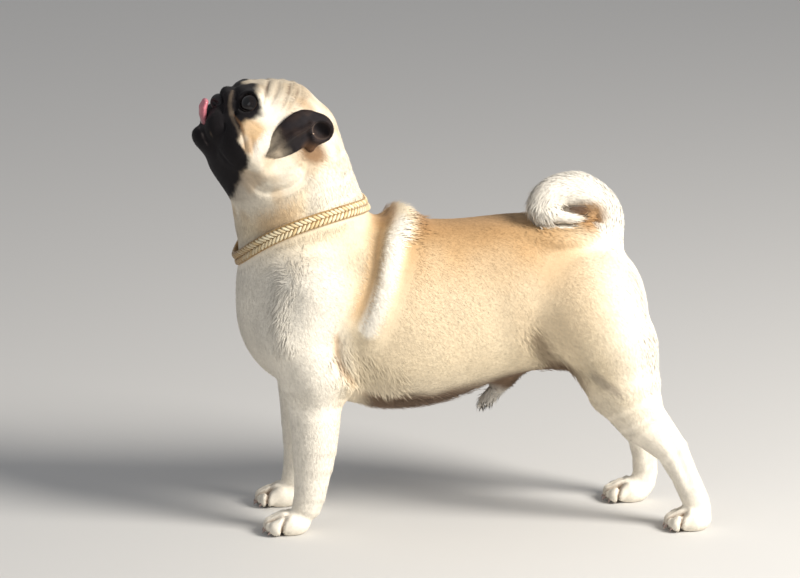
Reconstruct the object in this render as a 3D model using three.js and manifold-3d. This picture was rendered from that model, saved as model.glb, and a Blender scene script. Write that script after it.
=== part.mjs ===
// A pug standing with its head raised, life-size, in millimetres, +Z up. It faces -X, so its left
// side is at -Y. The flesh is one smooth field of blended ellipsoids and tapered limbs. It is meshed
// whole, thinned where it is smooth, and parted with thin cuts. Eyes, nose, tongue, ears, tail and
// collar sit in pockets of their own.
import * as THREE from "three";
import { mergeVertices } from "three/addons/utils/BufferGeometryUtils.js";
import Module from "manifold-3d";

const wasm = await Module();
wasm.setup();

// Driving dimensions
const GAP = 0.3; // between nodes that meet
const POCKET = 0.4; // round the pieces let into the flesh
const HEAD_AT = [-175, 0, 387]; // middle of the skull
const HEAD_PITCH = 33; // degrees that the nose points above level
const HEAD_YAW = 6.4; // degrees that it points to the left
const EYE = { at: [26.5, 28, 9], radius: 12.5, gaze: [0.76, 0.63, 0.1] }; // the right one, on the head
const COLLAR = {
  at: [-147.5, 0, 280.6],
  normal: [0.387, 0, -0.922],
  rise: 16.6, // how far it runs up at the sides of the neck
  turn: 0.2, // how round it turns up from the throat and the nape
  width: 12.5,
  thick: 3.6,
  sunk: 1,
  rounding: 1.6,
  groove: 1.2,
};

const COLOURS = {
  fawn: 0xdcc096,
  cream: 0xeadfc8,
  mask: 0x1c1817,
  black: 0x0c0b0c,
  eye: 0x1d0f08,
  pink: 0xe68a98,
  braid: 0xd2a95f,
};

// Shapes of the field: each is a function of x, y, z that gives the distance outside its surface
const TINY = 1e-9;
const radians = (degrees) => (degrees * Math.PI) / 180;

function ellipsoid({ at, size }) {
  const [cx, cy, cz] = at;
  const [rx, ry, rz] = size;
  return (x, y, z) => {
    const [u, v, w] = [(x - cx) / rx, (y - cy) / ry, (z - cz) / rz];
    const near = Math.hypot(u, v, w);
    return (near * (near - 1)) / (Math.hypot(u / rx, v / ry, w / rz) + TINY);
  };
}

// A chain of tapered capsules along [x, y, z, radius] points; wide stretches it across the body
function limb({ path, wide = 1 }) {
  const links = path.slice(1).map((b, i) => {
    const a = path[i];
    const along = [b[0] - a[0], b[1] - a[1], b[2] - a[2]];
    return { a, along, grow: b[3] - a[3], length2: along[0] ** 2 + along[1] ** 2 + along[2] ** 2 };
  });
  return (x, y, z) => {
    let nearest = Infinity;
    for (const { a, along, grow, length2 } of links) {
      const [dx, dy, dz] = [x - a[0], y - a[1], z - a[2]];
      const share = (dx * along[0] + dy * along[1] + dz * along[2]) / length2;
      const t = Math.min(1, Math.max(0, share));
      const away = Math.hypot(dx - t * along[0], (dy - t * along[1]) / wide, dz - t * along[2]);
      nearest = Math.min(nearest, away - a[3] - t * grow);
    }
    return nearest * Math.min(1, wide);
  };
}

const mirrored = (shape) => (x, y, z) => shape(x, Math.abs(y), z);

function join(a, b, k) {
  const h = Math.max(k - Math.abs(a - b), 0) / k;
  return Math.min(a, b) - (h * h * k) / 4;
}

// Adds each shape to the ones before it, or carves it out where carve is true
function blended(shapes) {
  const parts = shapes.map((s) => {
    const shape = s.path ? limb(s) : ellipsoid(s);
    return { shape: s.pair ? mirrored(shape) : shape, blend: s.blend ?? 10, carve: s.carve };
  });
  return (x, y, z) => {
    let d = parts[0].shape(x, y, z);
    for (let i = 1; i < parts.length; i++) {
      const { shape, blend, carve } = parts[i];
      const other = shape(x, y, z);
      d = carve ? -join(-d, other, blend) : join(d, other, blend);
    }
    return d;
  };
}

// The head's own frame: x forward to the nose, y to its right, z up to the crown
const [pitchCos, pitchSin] = [Math.cos(radians(HEAD_PITCH)), Math.sin(radians(HEAD_PITCH))];
const [yawCos, yawSin] = [Math.cos(radians(HEAD_YAW)), Math.sin(radians(HEAD_YAW))];
const fromHead = ([forward, side, up]) => {
  const back = up * pitchSin - forward * pitchCos;
  return [
    HEAD_AT[0] + back * yawCos - side * yawSin,
    HEAD_AT[1] + back * yawSin + side * yawCos,
    HEAD_AT[2] + forward * pitchSin + up * pitchCos,
  ];
};
const onHead = (shape) => (x, y, z) => {
  const [dx, dy, dz] = [x - HEAD_AT[0], y - HEAD_AT[1], z - HEAD_AT[2]];
  const back = dx * yawCos + dy * yawSin;
  const side = dy * yawCos - dx * yawSin;
  return shape(dz * pitchSin - back * pitchCos, side, back * pitchSin + dz * pitchCos);
};

// Trunk and neck
const TRUNK = [
  { at: [-55, 0, 203], size: [135, 77, 92] },
  { at: [-148, 0, 212], size: [58, 65, 74], blend: 24 },
  { at: [60, 0, 221], size: [95, 64, 76], blend: 30 },
  { at: [118, 0, 210], size: [66, 61, 60], blend: 25 },
  {
    path: [[-160.5, -1, 371, 51.5], [-153, 0, 330, 60], [-145.5, 0, 300, 63], [-138, 0, 254, 63]],
    wide: 0.9,
    blend: 20,
  },
  { path: [[-134, 50, 232, 34], [-148, 51, 190, 34], [-133, 51, 156, 31]], pair: true, blend: 22 },
  { path: [[129, 34, 219, 44], [149, 42, 178, 41]], pair: true, blend: 24 },
  { path: [[58, 0, 137, 8], [34, 0, 119, 8]], blend: 10 },
  { at: [100, -3, 279], size: [42, 42, 17], blend: 12 },
];

// The loose skin that stands up behind the shoulder, with the crease in front of it
const SKIN_FOLD = [
  { x: -50, y: 0, z: 294, r: 10 },
  { x: -53, y: 22, z: 289, r: 10 },
  { x: -61, y: 42, z: 276, r: 9 },
  { x: -69, y: 60, z: 253, r: 8 },
  { x: -77, y: 70, z: 228, r: 7 },
  { x: -85, y: 75, z: 204, r: 4 },
];
const CREASE_AHEAD = 15;
const FOLDS = [
  { path: SKIN_FOLD.map(({ x, y, z, r }) => [x, y, z, r]), pair: true, blend: 8 },
  {
    path: SKIN_FOLD.slice(1, 5).map(({ x, y, z, r }) => [x - CREASE_AHEAD, 1.08 * y, 1.02 * z, r / 4]),
    pair: true,
    blend: 6,
    carve: true,
  },
];

// Legs: joints from the body down to the pastern, each [x, out from the middle plane, z, radius]
const FORELEG = [
  [0, 47, 160, 32],
  [0, 48, 144, 30],
  [0, 49, 123, 26.5],
  [0, 50, 103, 24.2],
  [-0.5, 51, 85, 22.5],
  [-1.5, 51, 68, 20.2],
  [-3, 51, 54, 17.8],
  [-5, 52, 38, 16],
  [-8, 52, 26, 14.5],
];
const foreleg = (at) => FORELEG.map(([x, out, z, r]) => [at + x, out, z, r]);
const LEGS = {
  left_fore: { side: -1, joints: foreleg(-132.5), paw: [-157, 52] },
  right_fore: { side: 1, joints: foreleg(-140), paw: [-163, 52] },
  left_hind: {
    side: -1,
    joints: [
      [150, 37, 168, 41],
      [160, 44, 141, 37],
      [177, 48, 108, 25],
      [206, 52, 78, 16.5],
      [218, 53, 54, 14],
      [229, 54, 30, 13.5],
      [232, 54, 20, 13],
    ],
    paw: [225, 54],
  },
  right_hind: {
    side: 1,
    joints: [
      [148, 37, 168, 41],
      [154, 44, 136, 34],
      [166, 48, 102, 24],
      [187, 52, 66, 15.5],
      [190, 53, 46, 13],
      [191, 54, 28, 12.5],
      [189, 54, 18, 12.5],
    ],
    paw: [175, 54],
  },
};
const PAW = { length: 20, width: 18.5, height: 13, middle: 9 };
const TOE = { root: 12, top: 13.5, tip: 8 };
const TOES = [
  { ahead: 13, out: 14.5, r: 7.4 },
  { ahead: 17.5, out: 5, r: 8 },
  { ahead: 17.5, out: -5, r: 8 },
  { ahead: 13, out: -14.5, r: 7.4 },
];
const CLAW = { r: 2.2, length: 7.5, height: 4.6, way: [-0.75, 0, -0.66] };

function leg({ side, joints, paw }) {
  const [x, y] = [paw[0], side * paw[1]];
  return [
    { path: joints.map(([jx, out, z, r]) => [jx, side * out, z, r]), wide: 0.86 },
    { at: [x, y, PAW.middle], size: [PAW.length, PAW.width, PAW.height], blend: 6 },
    ...TOES.map(({ ahead, out, r }) => ({
      path: [[x - ahead + TOE.root, y + 0.9 * out, TOE.top, r], [x - ahead, y + out, TOE.tip, r]],
      blend: 2.5,
    })),
  ];
}

// Head, in its own frame
const HEAD = [
  { at: [-9, 0, 2.5], size: [47, 49, 41] },
  { at: [-36, 0, -7], size: [38, 45, 39], blend: 12 },
  { at: [20, 0, 4], size: [28, 41, 25], blend: 9 },
  { at: [8, 33, -20], size: [32, 25, 32], pair: true, blend: 14 },
  { at: [6, 0, -37], size: [37, 39, 27], blend: 12 },
  { at: [-2, 0, -50], size: [30, 32, 22], blend: 14 },
  { at: [34, 0, -18], size: [20, 33, 22], blend: 8 },
  { at: [37, 16, -24], size: [17.5, 19, 19], pair: true, blend: 5 },
  { at: [37, 0, -43], size: [19.5, 23, 12.5], blend: 8 },
  // Fold over the nose, down both cheeks
  {
    path: [
      [48, 0, 4.5, 6.3],
      [47, 10, 3.5, 6],
      [43.5, 20, 0, 5.5],
      [37, 29, -10, 5],
      [27, 37, -20, 4.5],
      [15, 42, -29, 3.5],
    ],
    pair: true,
    blend: 4,
  },
  // Brows and lids
  {
    path: [[37, 10, 13, 5], [34, 21, 15, 5], [27, 32, 15.5, 5], [18, 40, 10, 5]],
    pair: true,
    blend: 6,
  },
  { at: EYE.at, size: [EYE.radius + 3, EYE.radius + 3, EYE.radius + 3], pair: true, blend: 4 },
  {
    at: EYE.at.map((v, i) => v + EYE.gaze[i] * 13),
    size: [10.5, 10.5, 9.5],
    pair: true,
    blend: 2,
    carve: true,
  },
  // Creases: in front of the nose fold, down the forehead, the lips, the philtrum
  {
    path: [[57.5, 0, 1, 1.6], [55, 11, -2, 1.8], [48, 21, -9, 2], [40, 31, -19, 2], [28, 39, -28, 1.5]],
    pair: true,
    blend: 3,
    carve: true,
  },
  {
    path: [[46, 0, 16, 2], [42, 0, 25, 2.4], [32, 0, 34, 2], [20, 0, 41, 1.2]],
    blend: 5,
    carve: true,
  },
  {
    path: [[43, 9, 19, 1.6], [38, 13, 28, 2], [28, 14, 36, 2], [15, 12, 43, 1.2]],
    pair: true,
    blend: 5,
    carve: true,
  },
  {
    path: [[36, 24, 29, 1.6], [28, 31, 31, 2], [17, 35, 34, 1.5]],
    pair: true,
    blend: 5,
    carve: true,
  },
  {
    path: [[60, 0, -33, 2.2], [58, 12, -34, 2.2], [50, 23, -40, 2], [40, 30, -45, 2], [28, 37, -42, 1.6]],
    pair: true,
    blend: 2.5,
    carve: true,
  },
  { path: [[57, 0, -15, 1.2], [56, 0, -31, 1.6]], blend: 2, carve: true },
];

const NOSE_AT = [49.5, 0, -8];
const NOSE = [
  { at: NOSE_AT, size: [8, 12, 8] },
  { path: [[59, 5, -9, 2.2], [54, 7.5, -9.5, 2.4]], pair: true, blend: 1.5, carve: true },
  { path: [[57, 7, -9, 1.2], [52, 12.5, -6.5, 1.2]], pair: true, blend: 1, carve: true },
];

const TONGUE = [
  {
    path: [[40, 0, -32, 3], [52, 0, -30, 3.2], [57, 0, -25, 3.5], [60.5, 0, -19, 3.7], [61.5, 0, -13.5, 3]],
    wide: 2.8,
  },
];

// Ears: a flap that lies along the cheek, folded so that its cup opens out behind
const EAR_CUP = [-35, 50, 25];
const EAR = [
  {
    path: [[-30, 46, 27, 12], [-20, 50, 21, 17], [-15, 53, 8, 18], [-10, 53, -7, 14], [-7, 51, -19, 6]],
    wide: 0.42,
  },
  { at: EAR_CUP, size: [14, 9, 13.5], blend: 5 },
  { path: [[-34, 48, 15, 8], [-37, 48, 6, 5], [-39, 47, 0, 2.5]], blend: 5 },
  {
    at: [EAR_CUP[0] - 1.5, EAR_CUP[1] + 9, EAR_CUP[2] + 0.5],
    size: [11, 12, 10],
    blend: 2,
    carve: true,
  },
];

// Tail: rises from the croup, curls forward over the back and turns in on the left
const TAIL = [
  [139, 0, 240, 17],
  [146, -1, 264, 16.5],
  [148, -2, 287, 16],
  [143, -4, 304, 16],
  [131.5, -7, 315.5, 16.5],
  [117, -10, 322, 17.5],
  [98.5, -15, 321, 16.5],
  [86.5, -19.5, 313.5, 15],
  [83, -24, 306.5, 12.5],
];
const TAIL_TIP = [
  [90, -29, 302.5, 9.5],
  [103, -32, 300, 6.8],
  [116, -33, 299, 5],
];

const trunkShape = blended([...TRUNK, ...FOLDS]);
const legShapes = Object.values(LEGS).map((l) => blended(leg(l)));
const headShape = onHead(blended(HEAD));
const LEGS_BELOW = 240;
const HEAD_ABOVE = 260;
const HEAD_AHEAD = -60;
const LEG_BLEND = 14;
const NECK_BLEND = 16;

function flesh(x, y, z) {
  let d = trunkShape(x, y, z);
  if (z < LEGS_BELOW) for (const legShape of legShapes) d = join(d, legShape(x, y, z), LEG_BLEND);
  if (x < HEAD_AHEAD && z > HEAD_ABOVE) d = join(d, headShape(x, y, z), NECK_BLEND);
  return d;
}

// Grid lines from the spans [[start, end, step], ...]
function gridLines(spans) {
  const lines = [spans[0][0]];
  for (const [start, end, step] of spans) {
    const count = Math.round((end - start) / step);
    for (let i = 1; i <= count; i++) lines.push(start + ((end - start) * i) / count);
  }
  return lines;
}

// The field at every grid point; a block that lies well away from the surface gets one value
const BLOCK = 4;
const CLEAR = 1.7;
function sampled(field, lines) {
  const [nx, ny, nz] = lines.map((l) => l.length);
  const value = new Float32Array(nx * ny * nz);
  const span = (line, start) => [line[start], line[Math.min(start + BLOCK, line.length) - 1]];
  for (let k0 = 0; k0 < nz; k0 += BLOCK)
    for (let j0 = 0; j0 < ny; j0 += BLOCK)
      for (let i0 = 0; i0 < nx; i0 += BLOCK) {
        const ends = [span(lines[0], i0), span(lines[1], j0), span(lines[2], k0)];
        const reach = Math.hypot(...ends.map(([low, high]) => (high - low) / 2));
        const centre = field(...ends.map(([low, high]) => (low + high) / 2));
        const clear = Math.abs(centre) > CLEAR * reach + 1;
        for (let k = k0; k < Math.min(k0 + BLOCK, nz); k++)
          for (let j = j0; j < Math.min(j0 + BLOCK, ny); j++)
            for (let i = i0; i < Math.min(i0 + BLOCK, nx); i++) {
              const here = clear ? centre : field(lines[0][i], lines[1][j], lines[2][k]);
              value[i + j * nx + k * nx * ny] = here;
            }
      }
  return value;
}

// Which sheet of the surface crosses each of a cell's 12 edges, from the signs of its 8 corners.
// Edge 4 * axis + side runs along `axis`; the two bits of `side` place it along the next two axes.
const knownSheets = new Map();
function sheets(signs) {
  if (knownSheets.has(signs)) return knownSheets.get(signs);
  const inside = (corner) => (signs >> corner) & 1;
  const group = [0, 1, 2, 3, 4, 5, 6, 7];
  const edges = [0, 1, 2].flatMap((axis) =>
    [0, 1, 2, 3].map((side) => {
      const low = ((side & 1) << (axis + 1) % 3) | ((side >> 1) << (axis + 2) % 3);
      return [low, low | (1 << axis)];
    }),
  );
  for (let pass = 0; pass < 4; pass++)
    for (const [low, high] of edges)
      if (inside(low) && inside(high)) group[low] = group[high] = Math.min(group[low], group[high]);
  const names = [];
  const sheet = edges.map(([low, high]) => {
    if (inside(low) === inside(high)) return -1;
    const name = group[inside(low) ? low : high];
    if (!names.includes(name)) names.push(name);
    return names.indexOf(name);
  });
  const found = { sheet, count: names.length };
  knownSheets.set(signs, found);
  return found;
}

// A closed mesh of the field's zero level: in each cell one corner for each sheet of the surface
// that crosses it, pulled onto the surface
function surfaceNet(field, lines) {
  const [nx, ny, nz] = lines.map((l) => l.length);
  const stride = [1, nx, nx * ny];
  const value = sampled(field, lines);
  const firstCorner = new Int32Array(value.length).fill(-1);
  const signs = new Uint8Array(value.length);
  const points = [];
  for (let k = 0; k < nz - 1; k++)
    for (let j = 0; j < ny - 1; j++)
      for (let i = 0; i < nx - 1; i++) {
        const base = i + j * nx + k * nx * ny;
        for (let c = 0; c < 8; c++) {
          const corner = base + (c & 1) + ((c >> 1) & 1) * stride[1] + (c >> 2) * stride[2];
          if (value[corner] < 0) signs[base] |= 1 << c;
        }
        if (signs[base] === 0 || signs[base] === 255) continue;
        firstCorner[base] = points.length;
        for (const point of cellPoints(value, base, stride, [i, j, k], lines, sheets(signs[base])))
          points.push(pulled(field, point, lines[0][i + 1] - lines[0][i]));
      }
  const triangles = [];
  for (let k = 1; k < nz - 1; k++)
    for (let j = 1; j < ny - 1; j++)
      for (let i = 1; i < nx - 1; i++) {
        const base = i + j * nx + k * nx * ny;
        for (let axis = 0; axis < 3; axis++) {
          const inside = value[base] < 0;
          if (inside === value[base + stride[axis]] < 0) continue;
          const [u, v] = [stride[(axis + 1) % 3], stride[(axis + 2) % 3]];
          const cells = [[base, 0], [base - u, 1], [base - u - v, 3], [base - v, 2]];
          const sheetIn = ([cell, side]) => sheets(signs[cell]).sheet[4 * axis + side];
          const ring = cells.map((c) => firstCorner[c[0]] + sheetIn(c));
          if (!inside) ring.reverse();
          const apart = (a, b) => distance(points[ring[a]], points[ring[b]]);
          const split = apart(0, 2) < apart(1, 3) ? [0, 1, 2, 0, 2, 3] : [1, 2, 3, 1, 3, 0];
          for (let t = 0; t < 6; t += 3) triangles.push(split.slice(t, t + 3).map((c) => ring[c]));
        }
      }
  return { points, triangles };
}

const distance = (a, b) => Math.hypot(a[0] - b[0], a[1] - b[1], a[2] - b[2]);

// For each sheet, the mean of the points where the surface crosses the cell's edges
function cellPoints(value, base, stride, cell, lines, { sheet, count }) {
  const sums = Array.from({ length: count }, () => [0, 0, 0, 0]);
  for (let edge = 0; edge < 12; edge++) {
    if (sheet[edge] < 0) continue;
    const [axis, side] = [edge >> 2, edge & 3];
    const [b, c] = [(axis + 1) % 3, (axis + 2) % 3];
    const start = base + (side & 1) * stride[b] + (side >> 1) * stride[c];
    const [low, high] = [value[start], value[start + stride[axis]]];
    const [from, to] = [lines[axis][cell[axis]], lines[axis][cell[axis] + 1]];
    const sum = sums[sheet[edge]];
    sum[axis] += from + (low / (low - high)) * (to - from);
    sum[b] += lines[b][cell[b] + (side & 1)];
    sum[c] += lines[c][cell[c] + (side >> 1)];
    sum[3]++;
  }
  return sums.map(([x, y, z, n]) => [x / n, y / n, z / n]);
}

const PROBE = 0.4;
function gradient(field, [x, y, z]) {
  const e = PROBE;
  return [
    (field(x + e, y, z) - field(x - e, y, z)) / (2 * e),
    (field(x, y + e, z) - field(x, y - e, z)) / (2 * e),
    (field(x, y, z + e) - field(x, y, z - e)) / (2 * e),
  ];
}

// Moves a point onto the surface, by no more than a share of its cell
const MOST_PULL = 0.35;
function pulled(field, point, cell) {
  const g = gradient(field, point);
  const steep = dot(g, g) + TINY;
  const step = field(...point) / steep;
  const most = (MOST_PULL * cell) / Math.sqrt(steep);
  const move = Math.min(most, Math.max(-most, step));
  return point.map((p, i) => p - g[i] * move);
}

// Thins a closed mesh by folding away its cheapest edges until `target` triangles are left. `weight`
// makes the edges of a place dearer.
const LONG_COST = 1e-4;
const MOST_SHIFT = 1.5;
const LEAST_COSINE = 0.3;
const LEAST_AREA = 1e-3;
function thinned({ points, triangles }, target, weight = () => 1) {
  const at = points.map((p) => p.slice());
  const faces = triangles.map((t) => t.slice());
  const around = at.map(() => new Set());
  const quadric = at.map(() => new Float64Array(10));
  faces.forEach((face, f) => {
    const { normal, area } = plane(face.map((c) => at[c]));
    const away = -dot(normal, at[face[0]]);
    const [a, b, c, d] = [...normal, away];
    const own = [a * a, a * b, a * c, a * d, b * b, b * c, b * d, c * c, c * d, d * d];
    for (const corner of face) {
      around[corner].add(f);
      own.forEach((q, i) => (quadric[corner][i] += q * area));
    }
  });
  const stamp = new Int32Array(at.length);
  const heap = [];
  const push = (a, b) => {
    const q = quadric[a].map((v, i) => v + quadric[b][i]);
    const choices = [middle(at[a], at[b]), at[a], at[b]];
    const best = lowest(q);
    const long = distance(at[a], at[b]);
    if (best && distance(best, choices[0]) < MOST_SHIFT * long) choices.unshift(best);
    let [spot, cost] = [null, Infinity];
    for (const choice of choices) {
      const e = strain(q, choice);
      if (e < cost) [spot, cost] = [choice, e];
    }
    cost = (cost + LONG_COST * long ** 2) * weight(spot);
    heapPush(heap, { a, b, spot, cost, stamps: [stamp[a], stamp[b]] });
  };
  const neighbours = (c) => {
    const found = new Set();
    for (const f of around[c]) for (const other of faces[f]) if (other !== c) found.add(other);
    return found;
  };
  at.forEach((_, c) => neighbours(c).forEach((other) => other > c && push(c, other)));
  let left = faces.length;
  while (left > target && heap.length) {
    const { a, b, spot, stamps } = heapPop(heap);
    if (stamp[a] !== stamps[0] || stamp[b] !== stamps[1]) continue;
    const shared = [...around[a]].filter((f) => around[b].has(f));
    const [nearA, nearB] = [neighbours(a), neighbours(b)];
    const common = [...nearA].filter((c) => nearB.has(c));
    if (shared.length !== 2 || common.length !== 2) continue;
    if (turnsOver(a, b, spot) || turnsOver(b, a, spot)) continue;
    at[a] = spot;
    quadric[b].forEach((v, i) => (quadric[a][i] += v));
    for (const f of shared) {
      for (const corner of faces[f]) around[corner].delete(f);
      faces[f] = null;
    }
    for (const f of around[b]) {
      faces[f] = faces[f].map((c) => (c === b ? a : c));
      around[a].add(f);
    }
    around[b].clear();
    left -= 2;
    stamp[b]++;
    const near = neighbours(a);
    stamp[a]++;
    near.forEach((c) => push(Math.min(a, c), Math.max(a, c)));
  }
  return packed(at, faces.filter(Boolean));

  function turnsOver(moved, gone, spot) {
    for (const f of around[moved]) {
      const face = faces[f];
      if (face.includes(gone)) continue;
      const old = plane(face.map((c) => at[c]));
      const now = plane(face.map((c) => (c === moved ? spot : at[c])));
      if (dot(old.normal, now.normal) < LEAST_COSINE || now.area < LEAST_AREA) return true;
    }
    return false;
  }
}

const dot = (a, b) => a[0] * b[0] + a[1] * b[1] + a[2] * b[2];
const middle = (a, b) => a.map((v, i) => (v + b[i]) / 2);

function plane([a, b, c]) {
  const [u, v] = [b.map((n, i) => n - a[i]), c.map((n, i) => n - a[i])];
  const cross = [u[1] * v[2] - u[2] * v[1], u[2] * v[0] - u[0] * v[2], u[0] * v[1] - u[1] * v[0]];
  const length = Math.hypot(...cross) || 1e-12;
  return { normal: cross.map((n) => n / length), area: length / 2 };
}

function strain(q, [x, y, z]) {
  const squares = q[0] * x * x + q[4] * y * y + q[7] * z * z;
  const mixed = q[1] * x * y + q[2] * x * z + q[5] * y * z;
  return Math.abs(squares + 2 * mixed + 2 * (q[3] * x + q[6] * y + q[8] * z) + q[9]);
}

// The point where the quadric is least, or nothing where it is flat
const FLAT = 1e-4;
function lowest(q) {
  const m = new THREE.Matrix3().set(q[0], q[1], q[2], q[1], q[4], q[5], q[2], q[5], q[7]);
  const size = q[0] + q[4] + q[7];
  if (Math.abs(m.determinant()) < FLAT * size ** 3) return null;
  return new THREE.Vector3(-q[3], -q[6], -q[8]).applyMatrix3(m.invert()).toArray();
}

function heapPush(heap, item) {
  let i = heap.push(item) - 1;
  while (i > 0) {
    const up = (i - 1) >> 1;
    if (heap[up].cost <= item.cost) break;
    heap[i] = heap[up];
    i = up;
  }
  heap[i] = item;
}

function heapPop(heap) {
  const top = heap[0];
  const last = heap.pop();
  if (!heap.length) return top;
  let i = 0;
  for (let next = 1; next < heap.length; next = 2 * i + 1) {
    if (next + 1 < heap.length && heap[next + 1].cost < heap[next].cost) next++;
    if (last.cost <= heap[next].cost) break;
    heap[i] = heap[next];
    i = next;
  }
  heap[i] = last;
  return top;
}

function packed(points, triangles) {
  const place = new Map();
  const kept = [];
  const number = (c) => {
    if (!place.has(c)) place.set(c, kept.push(points[c]) - 1);
    return place.get(c);
  };
  return { triangles: triangles.map((t) => t.map(number)), points: kept };
}

// A closed mesh as a solid
function solidOf({ points, triangles }) {
  const vertProperties = new Float32Array(points.flat());
  const triVerts = new Uint32Array(triangles.flat());
  return new wasm.Manifold(new wasm.Mesh({ numProp: 3, vertProperties, triVerts }));
}

// A closed three.js geometry as a solid
function solidFrom(geometry) {
  const bare = geometry.clone();
  for (const name of Object.keys(bare.attributes)) if (name !== "position") bare.deleteAttribute(name);
  const merged = mergeVertices(bare, 1e-4);
  const position = merged.attributes.position;
  const points = [];
  for (let i = 0; i < position.count; i++) {
    points.push([position.getX(i), position.getY(i), position.getZ(i)]);
  }
  const index = merged.index.array;
  const triangles = [];
  for (let i = 0; i < index.length; i += 3) {
    const t = [index[i], index[i + 1], index[i + 2]];
    if (new Set(t).size === 3) triangles.push(t);
  }
  return solidOf({ points, triangles });
}

// The same mesh with its surface moved outwards by `by`
function grown({ points, triangles }, by) {
  const normals = points.map(() => [0, 0, 0]);
  for (const t of triangles) {
    const { normal, area } = plane(t.map((c) => points[c]));
    for (const c of t) normal.forEach((n, i) => (normals[c][i] += n * area));
  }
  const moved = points.map((p, c) => {
    const length = Math.hypot(...normals[c]) || 1;
    return p.map((v, i) => v + (by * normals[c][i]) / length);
  });
  return { points: moved, triangles };
}

const HUGE = 1200;

// The half of space behind a plane, as a big box; `normal` points out of it
function halfSpace(point, normal, back = 0) {
  const n = new THREE.Vector3(...normal).normalize();
  const box = new THREE.BoxGeometry(HUGE, HUGE, HUGE);
  box.translate(0, 0, -HUGE / 2 - back);
  box.applyQuaternion(new THREE.Quaternion().setFromUnitVectors(new THREE.Vector3(0, 0, 1), n));
  box.translate(...point);
  return solidFrom(box);
}

// Both sides of a plane, with the gap between them: the side that `normal` points to comes first
function parted(solid, { at, normal }) {
  const flipped = normal.map((n) => -n);
  return [flipped, normal].map((way) => solid.intersect(halfSpace(at, way, GAP / 2)));
}

// Only the largest piece of a solid
function largest(solid) {
  const pieces = solid.decompose();
  return pieces.reduce((best, piece) => (piece.volume() > best.volume() ? piece : best));
}

function meshOf(solid, name, colour, roughness) {
  const mesh = solid.getMesh();
  const geometry = new THREE.BufferGeometry();
  geometry.setAttribute("position", new THREE.BufferAttribute(new Float32Array(mesh.vertProperties), 3));
  geometry.setIndex(new THREE.BufferAttribute(new Uint32Array(mesh.triVerts), 1));
  geometry.computeVertexNormals();
  const material = new THREE.MeshStandardMaterial({ color: colour, roughness, metalness: 0 });
  const node = new THREE.Mesh(geometry, material);
  node.name = name;
  return node;
}

// A field meshed on a grid, thinned and made a solid; the grid is nudged until the mesh is sound
const NUDGES = [0, 0.37, 0.71, 1.13, 1.57, 2.03];
function modelled(field, spans, target, weight) {
  for (const nudge of NUDGES) {
    const lines = spans.map((s) => gridLines(s).map((v) => v + nudge));
    const mesh = thinned(surfaceNet(field, lines), target, weight);
    try {
      return { mesh, solid: solidOf(mesh) };
    } catch (error) {
      continue;
    }
  }
  throw new Error("no sound mesh");
}

// The whole flesh
const FINE = 2.4;
const PLAIN = 5.5;
const BODY_GRID = [
  [[-275, -240, PLAIN], [-240, -105, FINE], [-105, 265, PLAIN]],
  [[-110, -66, PLAIN], [-66, 66, 3], [66, 110, PLAIN]],
  [[-10, 26, 3], [26, 326, PLAIN], [326, 452, FINE]],
];
const PAWS_BELOW = 28;
const HEAD_CUT = { at: [-100, 0, 366], normal: [-0.525, 0, 0.851] };
const isHead = (p) => dot(p, HEAD_CUT.normal) > dot(HEAD_CUT.at, HEAD_CUT.normal);
const detail = (p) => (isHead(p) ? 5 : p[2] < PAWS_BELOW ? 2.5 : 1);
const whole = modelled(flesh, BODY_GRID, 7200, detail);

// Eyes, nose, tongue, ears
const SMALL = 1.6;
const boxAround = (centre, reach, step) => centre.map((c) => [[c - reach, c + reach, step]]);

const nose = modelled(onHead(blended(NOSE)), boxAround(fromHead(NOSE_AT), 20, SMALL), 320);
const TONGUE_MIDDLE = [53, 0, -24];
const tongue = modelled(onHead(blended(TONGUE)), boxAround(fromHead(TONGUE_MIDDLE), 26, SMALL), 200);
const SIDES = [["left", -1], ["right", 1]];
const ears = SIDES.map(([name, side]) => {
  const shape = blended(EAR);
  const turned = onHead((f, y, u) => shape(f, side * y, u));
  return { name, ...modelled(turned, boxAround(fromHead([-19, side * 50, 8]), 46, 1.8), 500) };
});

function eyeball(side, radius) {
  const ball = new THREE.SphereGeometry(radius, 16, 12);
  const [f, y, u] = EYE.at;
  ball.rotateX(Math.PI / 2);
  ball.translate(...fromHead([f, side * y, u]));
  return solidFrom(ball);
}

// Tail
const tailLine = [...TAIL, ...TAIL_TIP];
const tailGrid = [[[58, 182, 3.4]], [[-60, 28, 3.4]], [[212, 356, 3.4]]];
const tail = modelled(limb({ path: tailLine }), tailGrid, 900);
const TAIL_CUT = { at: [148, -3, 292], normal: [-0.2, 0, 1] };

// Collar: a flat band of two raised rows that follows the neck. It runs low at the throat and the
// nape and up at the sides. `extra` makes it larger all round.
const collarAt = new THREE.Vector3(...COLLAR.at);
const collarUp = new THREE.Vector3(...COLLAR.normal).normalize();
const collarSide = new THREE.Vector3(0, 1, 0);
const collarFore = new THREE.Vector3().crossVectors(collarSide, collarUp).normalize();
const COLLAR_TURNS = 48;

function neckReach(start, ray) {
  let [near, far] = [20, 130];
  for (let step = 0; step < 22; step++) {
    const reach = (near + far) / 2;
    const p = start.clone().addScaledVector(ray, reach);
    if (flesh(p.x, p.y, p.z) < 0) near = reach;
    else far = reach;
  }
  return near;
}

function collarProfile(extra) {
  const { width, thick, sunk, rounding, groove } = COLLAR;
  const half = width / 2 + extra;
  const high = thick - sunk + extra;
  const dip = high - groove / 2;
  const edge = [[half, dip], [half - rounding, high], [groove, dip]];
  const otherEdge = edge.map(([along, out]) => [-along, out]).reverse();
  return [[-half, -sunk - extra], [half, -sunk - extra], ...edge, ...otherEdge];
}

function collarRise(angle) {
  const { rise, turn } = COLLAR;
  return (rise * (Math.hypot(Math.sin(angle), turn) - turn)) / (Math.hypot(1, turn) - turn);
}

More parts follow.
